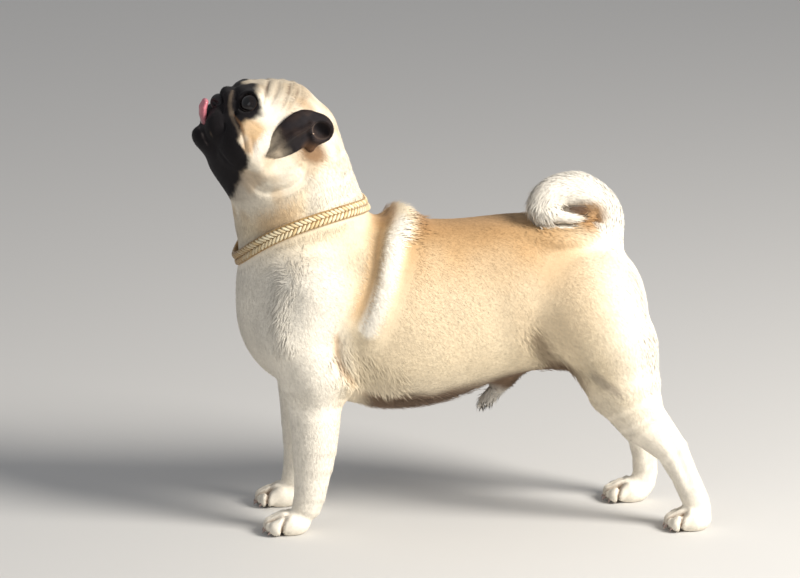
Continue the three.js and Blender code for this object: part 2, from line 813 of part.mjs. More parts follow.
function collarRing(extra) {
  const profile = collarProfile(extra);
  const points = [];
  for (let i = 0; i < COLLAR_TURNS; i++) {
    const angle = (2 * Math.PI * i) / COLLAR_TURNS;
    const ray = collarFore.clone().multiplyScalar(Math.cos(angle));
    ray.addScaledVector(collarSide, Math.sin(angle));
    const centre = collarAt.clone().addScaledVector(collarUp, -collarRise(angle));
    for (const [along, out] of profile) {
      const reach = neckReach(centre.clone().addScaledVector(collarUp, 0.6 * along), ray);
      const spot = centre.clone().addScaledVector(collarUp, along).addScaledVector(ray, reach + out);
      points.push(spot.toArray());
    }
  }
  const m = profile.length;
  const triangles = [];
  for (let i = 0; i < COLLAR_TURNS; i++)
    for (let j = 0; j < m; j++) {
      const [next, ahead] = [(j + 1) % m, ((i + 1) % COLLAR_TURNS) * m];
      const [a, b, c, d] = [i * m + j, i * m + next, ahead + next, ahead + j];
      triangles.push([a, b, c], [a, c, d]);
    }
  return solidOf({ points, triangles });
}

// Cut the flesh into its nodes
const nodes = [];
function add(solid, name, colour, roughness = 0.9) {
  nodes.push(meshOf(largest(solid), name, COLOURS[colour], roughness));
}

const NECK_CUT = { at: [-139.8, 0, 259.4], normal: [-0.349, 0, 0.937] };
const standing = whole.solid.intersect(halfSpace([0, 0, 0], [0, 0, -1]));
let [head, below] = parted(standing, HEAD_CUT);
let [neck, trunk] = parted(below, NECK_CUT);
for (const side of [-1, 1]) head = head.subtract(eyeball(side, EYE.radius + GAP));
for (const { mesh } of [nose, tongue, ...ears]) head = head.subtract(solidOf(grown(mesh, POCKET)));
neck = neck.subtract(collarRing(GAP));
for (const { mesh } of ears) neck = neck.subtract(solidOf(grown(mesh, POCKET)));
trunk = trunk.subtract(solidOf(grown(tail.mesh, POCKET)));

// A leg's part of the trunk: a wedge that reaches in and up from below
const BELOW = -20;
const OUTSIDE = 130;
const SLANT = 1.3;
const AXES_TURNED = new THREE.Matrix4().set(0, 0, 1, 0, 1, 0, 0, 0, 0, 1, 0, 0, 0, 0, 0, 1);
function legRegion(side, { x, inner, outer, extra = 0 }) {
  const [y0, z0] = inner;
  const [y1, z1] = outer;
  const shape = new THREE.Shape();
  shape.moveTo(side * (y0 - extra), BELOW);
  shape.lineTo(side * (y0 - extra), z0 + extra);
  shape.lineTo(side * y1, z1 + extra * SLANT);
  shape.lineTo(side * OUTSIDE, z1 + extra * SLANT);
  shape.lineTo(side * OUTSIDE, BELOW);
  const depth = x[1] - x[0] + 2 * extra;
  const prism = new THREE.ExtrudeGeometry(shape, { depth, bevelEnabled: false });
  prism.applyMatrix4(AXES_TURNED);
  prism.translate(x[0] - extra, 0, 0);
  return solidFrom(prism);
}
const FORE_REGION = { x: [-190, -92], inner: [16, 110], outer: [88, 190] };
const HIND_REGION = { x: [82, 290], inner: [12, 138], outer: [88, 228] };

const CUTS = {
  left: {
    wrist: { at: [-142, 0, 33], normal: [0.1, 0, 1] },
    knee: { at: [165, 0, 122], normal: [-0.5, 0, 0.86] },
    hock: { at: [230, 0, 35], normal: [-0.3, 0, 1] },
  },
  right: {
    wrist: { at: [-148, 0, 33], normal: [0.1, 0, 1] },
    knee: { at: [158, 0, 116], normal: [-0.35, 0, 0.92] },
    hock: { at: [188, 0, 33], normal: [0, 0, 1] },
  },
};

// Claws: a short cone at the tip of each toe, pointing forward and down
function clawed(paw, { side, paw: [x, out] }) {
  const way = new THREE.Vector3(...CLAW.way).normalize();
  const turn = new THREE.Quaternion().setFromUnitVectors(new THREE.Vector3(0, 1, 0), way);
  const claws = TOES.map((toe) => {
    const cone = new THREE.ConeGeometry(CLAW.r, CLAW.length, 6);
    cone.applyQuaternion(turn);
    cone.translate(x - toe.ahead - toe.r, side * out + toe.out, CLAW.height);
    return solidFrom(cone);
  });
  return claws.reduce((solid, claw) => solid.add(claw), paw);
}

for (const [name, side] of SIDES) {
  const fore = trunk.intersect(legRegion(side, FORE_REGION));
  const hind = trunk.intersect(legRegion(side, HIND_REGION));
  const [foreleg, forepaw] = parted(fore, CUTS[name].wrist);
  const [thigh, lower] = parted(hind, CUTS[name].knee);
  const [shank, hindpaw] = parted(lower, CUTS[name].hock);
  add(foreleg, `foreleg_${name}`, "cream");
  add(clawed(forepaw, LEGS[`${name}_fore`]), `forepaw_${name}`, "cream");
  add(thigh, `thigh_${name}`, "fawn");
  add(shank, `shank_${name}`, "cream");
  add(clawed(hindpaw, LEGS[`${name}_hind`]), `hindpaw_${name}`, "cream");
}
for (const [, side] of SIDES) {
  trunk = trunk.subtract(legRegion(side, { ...FORE_REGION, extra: GAP }));
  trunk = trunk.subtract(legRegion(side, { ...HIND_REGION, extra: GAP }));
}
add(trunk, "torso", "fawn");
add(neck, "neck", "fawn");
add(head, "head", "fawn");
add(nose.solid, "nose", "black", 0.45);
add(tongue.solid, "tongue", "pink", 0.4);
for (const [name, side] of SIDES) add(eyeball(side, EYE.radius), `eye_${name}`, "eye", 0.05);
for (const { name, solid } of ears) add(solid, `ear_${name}`, "mask");
const [tailCurl, tailBase] = parted(tail.solid, TAIL_CUT);
add(tailBase, "tail_base", "cream");
add(tailCurl, "tail_curl", "cream");
add(collarRing(0), "collar", "braid", 0.7);

const pug = new THREE.Group();
pug.name = "pug";
pug.add(...nodes);
const box = new THREE.Box3().setFromObject(pug);
pug.position.set(-(box.min.x + box.max.x) / 2, -(box.min.y + box.max.y) / 2, -box.min.z);
pug.updateMatrixWorld(true);

export default pug;
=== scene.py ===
"""The looks of the standing pug: skin, short coat in tufts, eyes, nose, tongue, ears, claws and collar.

Shapes are written in millimetres in the part's own drawing frame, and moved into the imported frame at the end.
Every soft shape is a field: a function of points that gives the distance outside its surface.
"""

import math

import bpy
import numpy as np
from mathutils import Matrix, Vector


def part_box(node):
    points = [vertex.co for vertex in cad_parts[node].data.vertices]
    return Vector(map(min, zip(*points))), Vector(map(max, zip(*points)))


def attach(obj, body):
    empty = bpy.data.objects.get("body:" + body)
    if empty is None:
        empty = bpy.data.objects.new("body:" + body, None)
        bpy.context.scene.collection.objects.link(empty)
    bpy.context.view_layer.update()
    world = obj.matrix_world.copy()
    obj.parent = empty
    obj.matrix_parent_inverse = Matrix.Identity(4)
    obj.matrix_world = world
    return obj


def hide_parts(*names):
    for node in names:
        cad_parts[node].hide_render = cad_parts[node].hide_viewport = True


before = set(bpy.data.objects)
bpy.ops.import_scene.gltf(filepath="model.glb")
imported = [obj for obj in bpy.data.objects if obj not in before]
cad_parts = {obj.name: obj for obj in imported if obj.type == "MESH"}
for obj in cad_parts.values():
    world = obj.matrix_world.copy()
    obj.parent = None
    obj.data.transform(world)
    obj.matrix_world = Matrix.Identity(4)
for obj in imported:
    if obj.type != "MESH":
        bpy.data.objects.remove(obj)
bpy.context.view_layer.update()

MM = 0.001
TINY = 1e-9
SIDES = [("left", -1), ("right", 1)]

# The part's driving dimensions, as in its source
HEAD_AT = np.array([-175.0, 0.0, 387.0])
HEAD_PITCH = math.radians(33)
HEAD_YAW = math.radians(6.4)
HEAD_CUT = {"at": np.array([-100.0, 0.0, 366.0]), "normal": np.array([-0.525, 0.0, 0.851])}
EYE = {"at": (26.5, 28, 9), "radius": 12.5, "gaze": (0.76, 0.63, 0.1)}
COLLAR = {"at": np.array([-147.5, 0.0, 280.6]), "normal": (0.387, 0, -0.922), "width": 12.5}
# How far the collar runs up at the sides of the neck, and how softly it turns at the throat
COLLAR_RISE, COLLAR_TURN = 16.6, 0.2

# How deep the coat lies over the skin
COAT = {"trunk": 1.2, "neck": 1.4, "leg": 0.9, "paw": 0.5, "skull": 0.9, "face": 0.5, "tail": 1.6}


def unit(v):
    v = np.asarray(v, float)
    return v / (np.linalg.norm(v, axis=-1, keepdims=True) + TINY)


def ramp(x, low, high):
    """0 below low, 1 above high, and a smooth step between."""
    t = np.clip((x - low) / (high - low), 0, 1)
    return t * t * (3 - 2 * t)


def mixed(a, b, t):
    return a * (1 - t) + b * t


def tinted(a, b, t):
    """Colours a towards colours b, by a share for each point."""
    return mixed(a, b, np.asarray(t, float)[:, None])


def smooth_path(path, parts=4):
    """The same path with more points, rounded through its own ones."""
    path = np.array(path, float)
    ends = np.concatenate([2 * path[:1] - path[1:2], path, 2 * path[-1:] - path[-2:-1]])
    t = np.arange(parts)[:, None] / parts
    pieces = []
    for a, b, c, d in zip(ends, ends[1:], ends[2:], ends[3:]):
        square = (2 * a - 5 * b + 4 * c - d) * t**2
        cube = (3 * b - a - 3 * c + d) * t**3
        pieces.append(0.5 * (2 * b + (c - a) * t + square + cube))
    return np.concatenate([*pieces, path[-1:]])


def nearest(q, path, scale=None):
    """For each point, how far the nearest link of a path is, and the path's values there.

    The distance is in widths where scale is the column of the path that holds them.
    """
    path = np.asarray(path, float)
    size = q.shape[1]
    best = np.full(len(q), np.inf)
    found = np.zeros((len(q), path.shape[1]))
    for a, b in zip(path, path[1:]):
        along = b[:size] - a[:size]
        t = np.clip((q - a[:size]) @ along / (along @ along + TINY), 0, 1)
        value = a + t[:, None] * (b - a)
        away = np.linalg.norm(q - value[:, :size], axis=1)
        if scale is not None:
            away = away / value[:, scale]
        closer = away < best
        best[closer] = away[closer]
        found[closer] = value[closer]
    return best, found


def way_along(p, path):
    """For each point, the direction of the nearest link of a path."""
    away = np.stack([nearest(p, link)[0] for link in zip(path, path[1:])])
    return unit(np.diff(path, axis=0))[away.argmin(0)]


# Shapes of the field


def ball(at, size, blend=10, pair=False, carve=False):
    """A row for blended: an ellipsoid."""
    at, size = np.array(at, float), np.array(size, float)

    def shape(p):
        q = (p - at) / size
        near = np.linalg.norm(q, axis=1)
        return near * (near - 1) / (np.linalg.norm(q / size, axis=1) + TINY)

    return shape, at - size, at + size, blend, pair, carve


def rope(path, blend=10, pair=False, carve=False, wide=1.0):
    """A row for blended: tapered capsules along (x, y, z, radius) points, made wider or flatter by wide."""
    path = np.array(path, float)
    reach = path[:, 3:] * [1, wide, 1]

    def shape(p):
        least = np.full(len(p), np.inf)
        for a, b in zip(path, path[1:]):
            along = b[:3] - a[:3]
            d = p - a[:3]
            t = np.clip(d @ along / (along @ along), 0, 1)
            d -= t[:, None] * along
            d[:, 1] /= wide
            least = np.minimum(least, np.sqrt((d * d).sum(1)) - a[3] - t * (b[3] - a[3]))
        return least * min(1, wide)

    return shape, (path[:, :3] - reach).min(0), (path[:, :3] + reach).max(0), blend, pair, carve


def join(a, b, k):
    """The nearer of two distances, rounded over k millimetres where they meet."""
    h = np.maximum(k - np.abs(a - b), 0) / k
    return np.minimum(a, b) - h * h * k / 4


def blended(shapes):
    """The field of rows of shapes: each is added to the ones before it, or carved out of them.

    Blend is the width in millimetres that the join is rounded over, and pair puts the shape on both sides.
    """

    def field(p, exact=False):
        """Unless exact, a shape is left out for the points that lie well outside its box."""
        folded = p * [1, 0, 1] + np.abs(p) * [0, 1, 0]
        d = shapes[0][0](p)
        for shape, low, high, blend, pair, carve in shapes[1:]:
            q = folded if pair else p
            margin = 2 * blend + 1
            near = slice(None) if exact else np.flatnonzero(((q > low - margin) & (q < high + margin)).all(1))
            if not exact and len(near) == 0:
                continue
            other = shape(q[near])
            d[near] = -join(-d[near], other, blend) if carve else join(d[near], other, blend)
        return d

    return field


# The head's own frame: forward to the nose, across to its right, up to the crown

pitch_cos, pitch_sin = math.cos(HEAD_PITCH), math.sin(HEAD_PITCH)
yaw_cos, yaw_sin = math.cos(HEAD_YAW), math.sin(HEAD_YAW)
HEAD_AXES = np.array(
    [
        [-pitch_cos * yaw_cos, -pitch_cos * yaw_sin, pitch_sin],
        [-yaw_sin, yaw_cos, 0],
        [pitch_sin * yaw_cos, pitch_sin * yaw_sin, pitch_cos],
    ]
)


def to_head(p):
    return (p - HEAD_AT) @ HEAD_AXES.T


def from_head(q):
    return np.asarray(q, float) @ HEAD_AXES + HEAD_AT


NECK = [(-160.5, -1, 371, 51.5), (-153, 0, 330, 60), (-145.5, 0, 300, 63), (-138, 0, 254, 63)]
TRUNK = [
    ball((-55, 0, 203), (135, 77, 92)),
    ball((-148, 0, 212), (58, 65, 74), 24),
    ball((60, 0, 221), (95, 64, 76), 30),
    ball((118, 0, 210), (66, 61, 60), 25),
    rope(NECK, 20, wide=0.9),
    rope([(-134, 50, 232, 34), (-148, 51, 190, 34), (-133, 51, 156, 31)], 22, pair=True),
    rope([(129, 34, 219, 44), (149, 42, 178, 41)], 24, pair=True),
    rope([(68, 0, 148, 4), (52, 0, 133, 7), (36, 0, 120, 6.5), (28, 0, 115.5, 3.5)]),
    ball((100, -3, 279), (42, 42, 17), 12),
]

# The loose skin that stands up behind the shoulder
SKIN_FOLD = [
    (-50, 0, 293, 11), (-53, 22, 288, 11), (-60, 42, 276, 10), (-67, 58, 252, 8), (-75, 67, 228, 5.5),
    (-84, 68, 200, 2),
]
FOLDS = [rope(smooth_path(SKIN_FOLD, 3), 18, pair=True)]

# Soft rolls and valleys on both sides of the body: (x, z, width, height) along each
SIDE_ROLLS = [
    # The valley before the loose skin, its crest, and the step behind it
    [(-70, 292, 6, -2), (-76, 268, 6, -3.6), (-81, 247, 6, -3), (-89, 222, 7, -1.6), (-97, 203, 7, 0)],
    [(-58, 262, 9, 0), (-66, 240, 10, 0.8), (-76, 218, 12, 1.4), (-86, 198, 13, 0.8), (-92, 184, 12, 0)],
    [(-43, 284, 6, -1.5), (-49, 258, 8, -1.2), (-58, 232, 9, -0.6), (-68, 210, 9, 0)],
    # The crest of hair on the side of the chest, with the hollow behind it
    [(-152, 262, 8, 0), (-164, 240, 8, 1.8), (-169, 215, 8, 2.2), (-164, 192, 7, 1.2), (-154, 176, 6, 0)],
    [(-146, 246, 9, 0), (-152, 225, 9, -0.8), (-152, 205, 8, -0.6), (-148, 188, 7, 0)],
    # The crease behind the upper arm, and the elbow
    [(-107, 214, 5, 0), (-114, 190, 5, -3.2), (-112, 172, 5, -3.5), (-101, 155, 5, -2.5), (-92, 148, 5, 0)],
    [(-105, 158, 8, 1.5), (-101, 146, 8, 4), (-104, 133, 8, 1)],
    # The hollow of the flank before the thigh, and the thigh's front
    [(68, 216, 11, 0), (75, 194, 12, -2.5), (84, 172, 12, -5.5), (98, 156, 11, -5.5), (112, 144, 9, -2)],
    [(104, 232, 16, 0), (108, 200, 15, 0.8), (120, 172, 13, 1.4), (134, 148, 10, 1)],
    # The line between the two muscles at the back of the thigh
    [(158, 226, 7, 0), (172, 190, 7, -1.6), (178, 160, 6, -2.2), (182, 130, 5, -1.5)],
    # The ribs' end
    [(20, 262, 16, 0), (34, 230, 16, -2), (40, 200, 16, -2.2), (44, 172, 14, -1)],
    # The skin below the jowl, rolled over a crease, and the loose nape
    [(-192, 364, 8, 1.5), (-178, 347, 9, 2.5), (-160, 348, 9, 2.5), (-147, 358, 8, 1.5)],
    [
        (-197, 350, 3.5, -1.5), (-181, 331, 4, -3), (-160, 333, 4, -3.2), (-144, 342, 4, -2.8),
        (-140, 358, 4, -1),
    ],
    [(-139, 354, 6, -0.6), (-141, 330, 7, -1.5), (-143, 310, 7, -1.2), (-145, 296, 6, 0)],
    [(-118, 352, 12, 1.5), (-121, 325, 13, 2.5), (-119, 302, 12, 1.2)],
]
# The cleft before the outer toe of each paw
TOE_CLEFT = [(0, 2, 1.5, -3.4), (-0.5, 9, 1.6, -3.4), (2, 16, 1.9, -2.2), (9, 21, 2.2, 0)]
# The hollows before the hocks' tendons, in each leg's own place
LEFT_HOCK = [(190, 106, 5, -1.2), (207, 82, 4, -2.2), (216, 62, 3.5, -1.8), (222, 46, 3, -0.8)]
RIGHT_HOCK = [(176, 102, 5, -1.2), (189, 74, 4, -2.2), (192, 54, 3.5, -1.8), (193, 40, 3, -0.8)]

# Wrinkles of the head, (forward, across, up, width, height) along each, on both sides
FACE_ROLLS = [
    [(33, 4, 28, 1.8, -1.2), (28, 13, 31, 1.9, -1.6), (23, 28, 27, 2, -1.5), (18, 36, 23, 1.8, -0.6)],
    [(22, 2, 36, 2, -1.2), (22.7, 25, 26.5, 2, -1.8), (21.5, 41, 17, 2, -0.6)],
    [(14, 4, 41, 2, -1), (14, 21, 35.5, 2, -1.8), (14.7, 33, 26.5, 2, -1.4), (15, 42, 17, 2, -0.4)],
    [(4, 4, 44, 2, -1.2), (4.8, 25, 37.3, 2.2, -1.9), (4.8, 38.5, 27, 2, -1.1), (6, 46, 16, 2, 0)],
    [(-4, 4, 45, 2, -0.6), (-3.5, 21, 41.5, 2.2, -1.5), (-2, 36, 32, 2, -1), (0, 44, 22, 2, 0)],
    [(36, 35, -4, 1.6, -0.8), (26, 46, -4, 2, -1.4), (14, 52, -4, 2, -0.6)],
    # Before the nose fold and behind it, and round the flews
    [
        (55, 0, 0.5, 3, 1.6), (54, 8, -1.5, 2.6, 1), (52, 15, -6, 2.2, -0.6), (47, 22, -11, 2.2, -2),
        (40, 33, -20, 2.2, -1.8), (31, 42, -29, 2, -1),
    ],
    [
        (46, 10, 13, 1.8, -1.2), (42, 21, 8, 2, -1.6), (37, 33, -4, 2, -1.8), (30, 43, -14, 2, -1.6),
        (22, 50, -26, 2, -0.6),
    ],
    [(44, 27, -43, 2, -1.6), (36, 32, -45, 2.2, -1.8), (26, 38, -46, 2.4, -1.2), (16, 42, -46, 2.4, -0.4)],
    [(50, 22, -22, 7, 1.2), (44, 28, -30, 7, 1.2)],
    [(30, 48, -15, 1.6, -0.8), (22, 53, -20, 1.8, -1.4), (12, 54, -32, 1.8, -1.2), (2, 49, -42, 1.6, -0.4)],
    [(20, 53, -12, 1.5, -0.4), (13, 56, -20, 1.8, -1.2), (5, 55, -30, 1.8, -0.9), (-3, 51, -38, 1.6, 0)],
    # The back of the crown is flatter
    [(-28, 0, 45, 14, -2.6), (-28, 22, 40, 14, -2), (-28, 38, 28, 12, 0)],
]

# The clefts between the toes: how far across each lies, how wide and deep it is, and how it spreads back
CLEFTS = (0, 9.8, -9.8)
CLEFT_WIDTH, CLEFT_DEPTH, CLEFT_SPREAD = 1.5, 3.2, 0.012
PAW_TOP = 24

# The middle line of each leg, (x, out, z, radius) along it, the paw's middle and the cleft's place
FORELEG = [
    (0, 47, 160, 32), (0, 48, 144, 30), (0, 49, 123, 26.5), (0, 50, 103, 24.2), (-0.5, 51, 85, 22.5),
    (-1.5, 51, 68, 20.2), (-3, 51, 54, 17.8), (-5, 52, 38, 16), (-8, 52, 26, 14.5),
]
LEFT_HIND = [
    (150, 37, 168, 41), (160, 44, 141, 37), (177, 48, 108, 25), (206, 52, 78, 16.5), (218, 53, 54, 14),
    (229, 54, 30, 13.5), (232, 54, 20, 13),
]
RIGHT_HIND = [
    (148, 37, 168, 41), (154, 44, 136, 34), (166, 48, 102, 24), (187, 52, 66, 15.5), (190, 53, 46, 13),
    (191, 54, 28, 12.5), (189, 54, 18, 12.5),
]


def foreleg(at):
    return [(at + x, out, z, r) for x, out, z, r in FORELEG]


LEGS = {
    "foreleg_left": {"side": -1, "joints": foreleg(-132.5), "paw": (-157, 52), "cleft": -164},
    "foreleg_right": {"side": 1, "joints": foreleg(-140), "paw": (-163, 52), "cleft": -176},
    "hindleg_left": {"side": -1, "joints": LEFT_HIND, "paw": (225, 54), "cleft": 215},
    "hindleg_right": {"side": 1, "joints": RIGHT_HIND, "paw": (175, 54), "cleft": 164},
}
PAW = {"length": 20, "width": 18.5, "height": 13, "middle": 9}
TOE = {"root": 12, "top": 13.5, "tip": 8}
TOES = [(13, 14.5, 7.4), (17.5, 5, 8), (17.5, -5, 8), (13, -14.5, 7.4)]
LEG_WIDE, PAW_BLEND, TOE_BLEND = 0.86, 6, 1.6

TAIL = [
    (139, 0, 240, 17), (146, -1, 264, 16.5), (148, -2, 287, 16), (143, -4, 304, 16),
    (131.5, -7, 315.5, 16.5), (117, -10, 322, 17.5), (98.5, -15, 321, 16.5), (86.5, -19.5, 313.5, 15),
    (83, -24, 306.5, 12.5), (90, -29, 303, 9.5), (103, -31.5, 300, 6.5), (115, -32, 298.5, 4.5),
    (124, -31, 298, 2),
]
TAIL = smooth_path(TAIL)
TAIL_INSIDE = ((117, -7, 300.5), (25, 14, 14.5))

NOSE_FOLD = [
    (48, 0, 4.5, 6.3), (47, 10, 3.5, 6), (43.5, 20, 0, 5.5), (37, 29, -10, 5), (27, 37, -20, 4.5),
    (15, 42, -29, 3.5),
]
BROW = [(37, 10, 13, 5), (34, 21, 15, 5), (27, 32, 15.5, 5), (18, 40, 10, 5)]
EYE_SOCKET = tuple(c + 13 * g for c, g in zip(EYE["at"], EYE["gaze"]))
HEAD = [
    ball((-9, 0, 2.5), (47, 49, 41)),
    ball((-36, 0, -7), (38, 45, 39), 12),
    ball((20, 0, 4), (28, 41, 25), 9),
    ball((8, 33, -20), (32, 25, 32), 14, pair=True),
    ball((6, 0, -37), (37, 39, 27), 12),
    ball((-2, 0, -50), (30, 32, 22), 14),
    ball((34, 0, -18), (20, 33, 22), 8),
    ball((37, 16, -24), (17.5, 19, 19), 5, pair=True),
    ball((37, 0, -43), (19.5, 23, 12.5), 8),
    rope(NOSE_FOLD, 4, pair=True),
    rope(BROW, 6, pair=True),
    ball(EYE["at"], (EYE["radius"] + 3,) * 3, 4, pair=True),
    ball(EYE_SOCKET, (10.8, 10.8, 9.8), 2, pair=True, carve=True),
]

MOUTH_LINE = [(60, 0, -33, 2.2), (58, 12, -34, 2.2), (51, 21, -39, 1.8), (44, 27, -43, 0.8)]
# Creases of the head that are cut deep: down the forehead's middle, the mouth's line and the philtrum
CREASES = [
    rope([(46, 0, 16, 2), (42, 0, 25, 2.4), (32, 0, 34, 2), (20, 0, 41, 1.2)], 5, carve=True),
    rope(MOUTH_LINE, 3, pair=True, carve=True),
    rope([(57, 0, -15, 1.2), (56, 0, -31, 1.6)], 2, carve=True),
]


def on_side(p, side):
    return np.sign(p[:, 1]) == side


def raised(q, rolls, size, reach=2.6):
    """How far rolls lift the surface: each one's height, fading over its width.

    A roll's points have size coordinates, then its width and height there.
    """
    total = np.zeros(len(q))
    for path in rolls:
        path = smooth_path(path, 3)
        margin = reach * path[:, size].max()
        low, high = path[:, :size].min(0) - margin, path[:, :size].max(0) + margin
        near = np.flatnonzero(((q > low) & (q < high)).all(1))
        if len(near):
            away, found = nearest(q[near], path, size)
            total[near] += found[:, size + 1] * np.exp(-(away**2))
    return total


def toe_gap(p):
    """The depth of the clefts between the toes."""
    depth = np.zeros(len(p))
    for leg in LEGS.values():
        x, out = leg["paw"]
        q = p - [x, leg["side"] * out, 0]
        ahead = ramp(-q[:, 0], 2, 14) * (1 - ramp(np.abs(q[:, 0]), 30, 40))
        for across in CLEFTS:
            away = q[:, 1] - across * (1 + CLEFT_SPREAD * q[:, 0])
            depth += CLEFT_DEPTH * ahead * np.exp(-((away / CLEFT_WIDTH) ** 2))
    return depth


# Where the legs, the head and the tail are looked for
LEGS_BELOW, HEAD_ABOVE, HEAD_AHEAD = 240, 260, -60
TAIL_FROM = {"x": 50, "z": 225}


def by_head(p):
    return np.flatnonzero((p[:, 0] < HEAD_AHEAD) & (p[:, 2] > HEAD_ABOVE))


def relief(p):
    """The rolls, valleys and wrinkles of the skin."""
    flat = p[:, [0, 2]]
    total = raised(flat, SIDE_ROLLS, 2)
    for side, hock in ((-1, LEFT_HOCK), (1, RIGHT_HOCK)):
        total += raised(flat, [hock], 2) * on_side(p, side)
    for leg in LEGS.values():
        cleft = [(leg["cleft"] + x, *rest) for x, *rest in TOE_CLEFT]
        total += raised(flat, [cleft], 2) * on_side(p, leg["side"])
    # The rolls of the sides fade out at the body's middle
    total *= ramp(np.abs(p[:, 1]), 14, 38)
    high = by_head(p)
    q = to_head(p[high])
    q[:, 1] = np.abs(q[:, 1])
    total[high] += raised(q, FACE_ROLLS, 3)
    low = np.flatnonzero(p[:, 2] < PAW_TOP)
    total[low] -= toe_gap(p[low])
    return total


def leg_shapes(leg):
    side, (x, out) = leg["side"], leg["paw"]
    y = side * out
    shapes = [
        rope([(jx, side * jy, z, r) for jx, jy, z, r in leg["joints"]], wide=LEG_WIDE),
        ball((x, y, PAW["middle"]), (PAW["length"], PAW["width"], PAW["height"]), PAW_BLEND),
    ]
    for ahead, across, r in TOES:
        knuckle = (x - ahead + TOE["root"], y + 0.9 * across, TOE["top"], r)
        shapes.append(rope([knuckle, (x - ahead, y + across, TOE["tip"], r)], TOE_BLEND))
    return shapes


trunk_field = blended(TRUNK + FOLDS)
leg_fields = [blended(leg_shapes(leg)) for leg in LEGS.values()]
head_field = blended(HEAD + CREASES)
tail_field = rope(TAIL)[0]
tail_inside = ball(*TAIL_INSIDE)[0]
LEG_BLEND, HEAD_BLEND, TAIL_BLEND = 14, 16, 4


def above_head_cut(p):
    return (p - HEAD_CUT["at"]) @ HEAD_CUT["normal"]


def coat_depth(p):
    """How far the skin lies inside the coat's tips: each part's depth, from the trunk out to the face."""
    head = ramp(above_head_cut(p), -20, 15)
    face = ramp(to_head(p)[:, 0], 5, 30)
    depth = mixed(COAT["trunk"], COAT["neck"], ramp(-p[:, 0] + 0.5 * (p[:, 2] - 250), 90, 150))
    depth = mixed(COAT["leg"], depth, ramp(p[:, 2], 90, 165))
    depth = mixed(COAT["paw"], depth, ramp(p[:, 2], 20, 50))
    return mixed(depth, mixed(COAT["skull"], COAT["face"], face), head)


def flesh(p, exact=False):
    """Trunk, legs and head, out to the tips of the coat."""
    d = trunk_field(p, exact)
    low = np.flatnonzero(p[:, 2] < LEGS_BELOW)
    for field in leg_fields:
        d[low] = join(d[low], field(p[low], exact), LEG_BLEND)
    high = by_head(p)
    d[high] = join(d[high], head_field(to_head(p[high]), exact), HEAD_BLEND)
    return d


SOLE = 0.2


def skin_field(p, exact=False):
    d = flesh(p, exact) + coat_depth(p) - relief(p)
    back = np.flatnonzero((p[:, 0] > TAIL_FROM["x"]) & (p[:, 2] > TAIL_FROM["z"]))
    tail = join(tail_field(p[back]) + COAT["tail"], tail_inside(p[back]) + COAT["tail"], TAIL_BLEND)
    # The tail blends widely at its root, and hardly where it lies on the back
    rooted = ramp(p[back, 0], 118, 132) * ramp(-p[back, 2], -296, -280)
    d[back] = join(d[back], tail, 1 + 15 * rooted)
    return np.maximum(d, SOLE - p[:, 2])


# Meshing


def grid_lines(spans):
    """Places along an axis, from (start, end, step) of each of its stretches."""
    lines = [np.array([spans[0][0]], float)]
    for start, end, step in spans:
        lines.append(np.linspace(start, end, round((end - start) / step) + 1)[1:])
    return np.concatenate(lines)


def grid_points(lines):
    return np.stack(np.meshgrid(*lines, indexing="ij"), -1).reshape(-1, 3)


BLOCK = 4


def sampled(field, lines):
    """The field on the grid; a block that lies well away from the surface gets its middle's value."""
    counts = [-(-len(line) // BLOCK) for line in lines]
    padded = [np.pad(line, (0, n * BLOCK - len(line)), mode="edge") for line, n in zip(lines, counts)]
    spans = [(line[::BLOCK], line[BLOCK - 1 :: BLOCK]) for line in padded]
    value = field(grid_points([(a + b) / 2 for a, b in spans]), True)
    half = grid_points([(b - a) / 2 for a, b in spans])
    near = np.flatnonzero(np.abs(value) < 1.7 * np.linalg.norm(half, axis=1) + 6)
    blocks = np.repeat(value[:, None], BLOCK**3, 1)
    where = np.stack(np.unravel_index(near, counts), 1) * BLOCK
    index = where[:, None] + grid_points([np.arange(BLOCK)] * 3)
    points = np.stack([padded[axis][index[..., axis]] for axis in range(3)], -1).reshape(-1, 3)
    blocks[near] = field(points).reshape(-1, BLOCK**3)
    grid = blocks.reshape(*counts, BLOCK, BLOCK, BLOCK).transpose(0, 3, 1, 4, 2, 5)
    grid = grid.reshape(*[n * BLOCK for n in counts])
    return grid[: len(lines[0]), : len(lines[1]), : len(lines[2])]


def gradient(field, p, probe=0.4):
    steps = np.eye(3) * probe
    return np.stack([(field(p + s) - field(p - s)) / (2 * probe) for s in steps], 1)


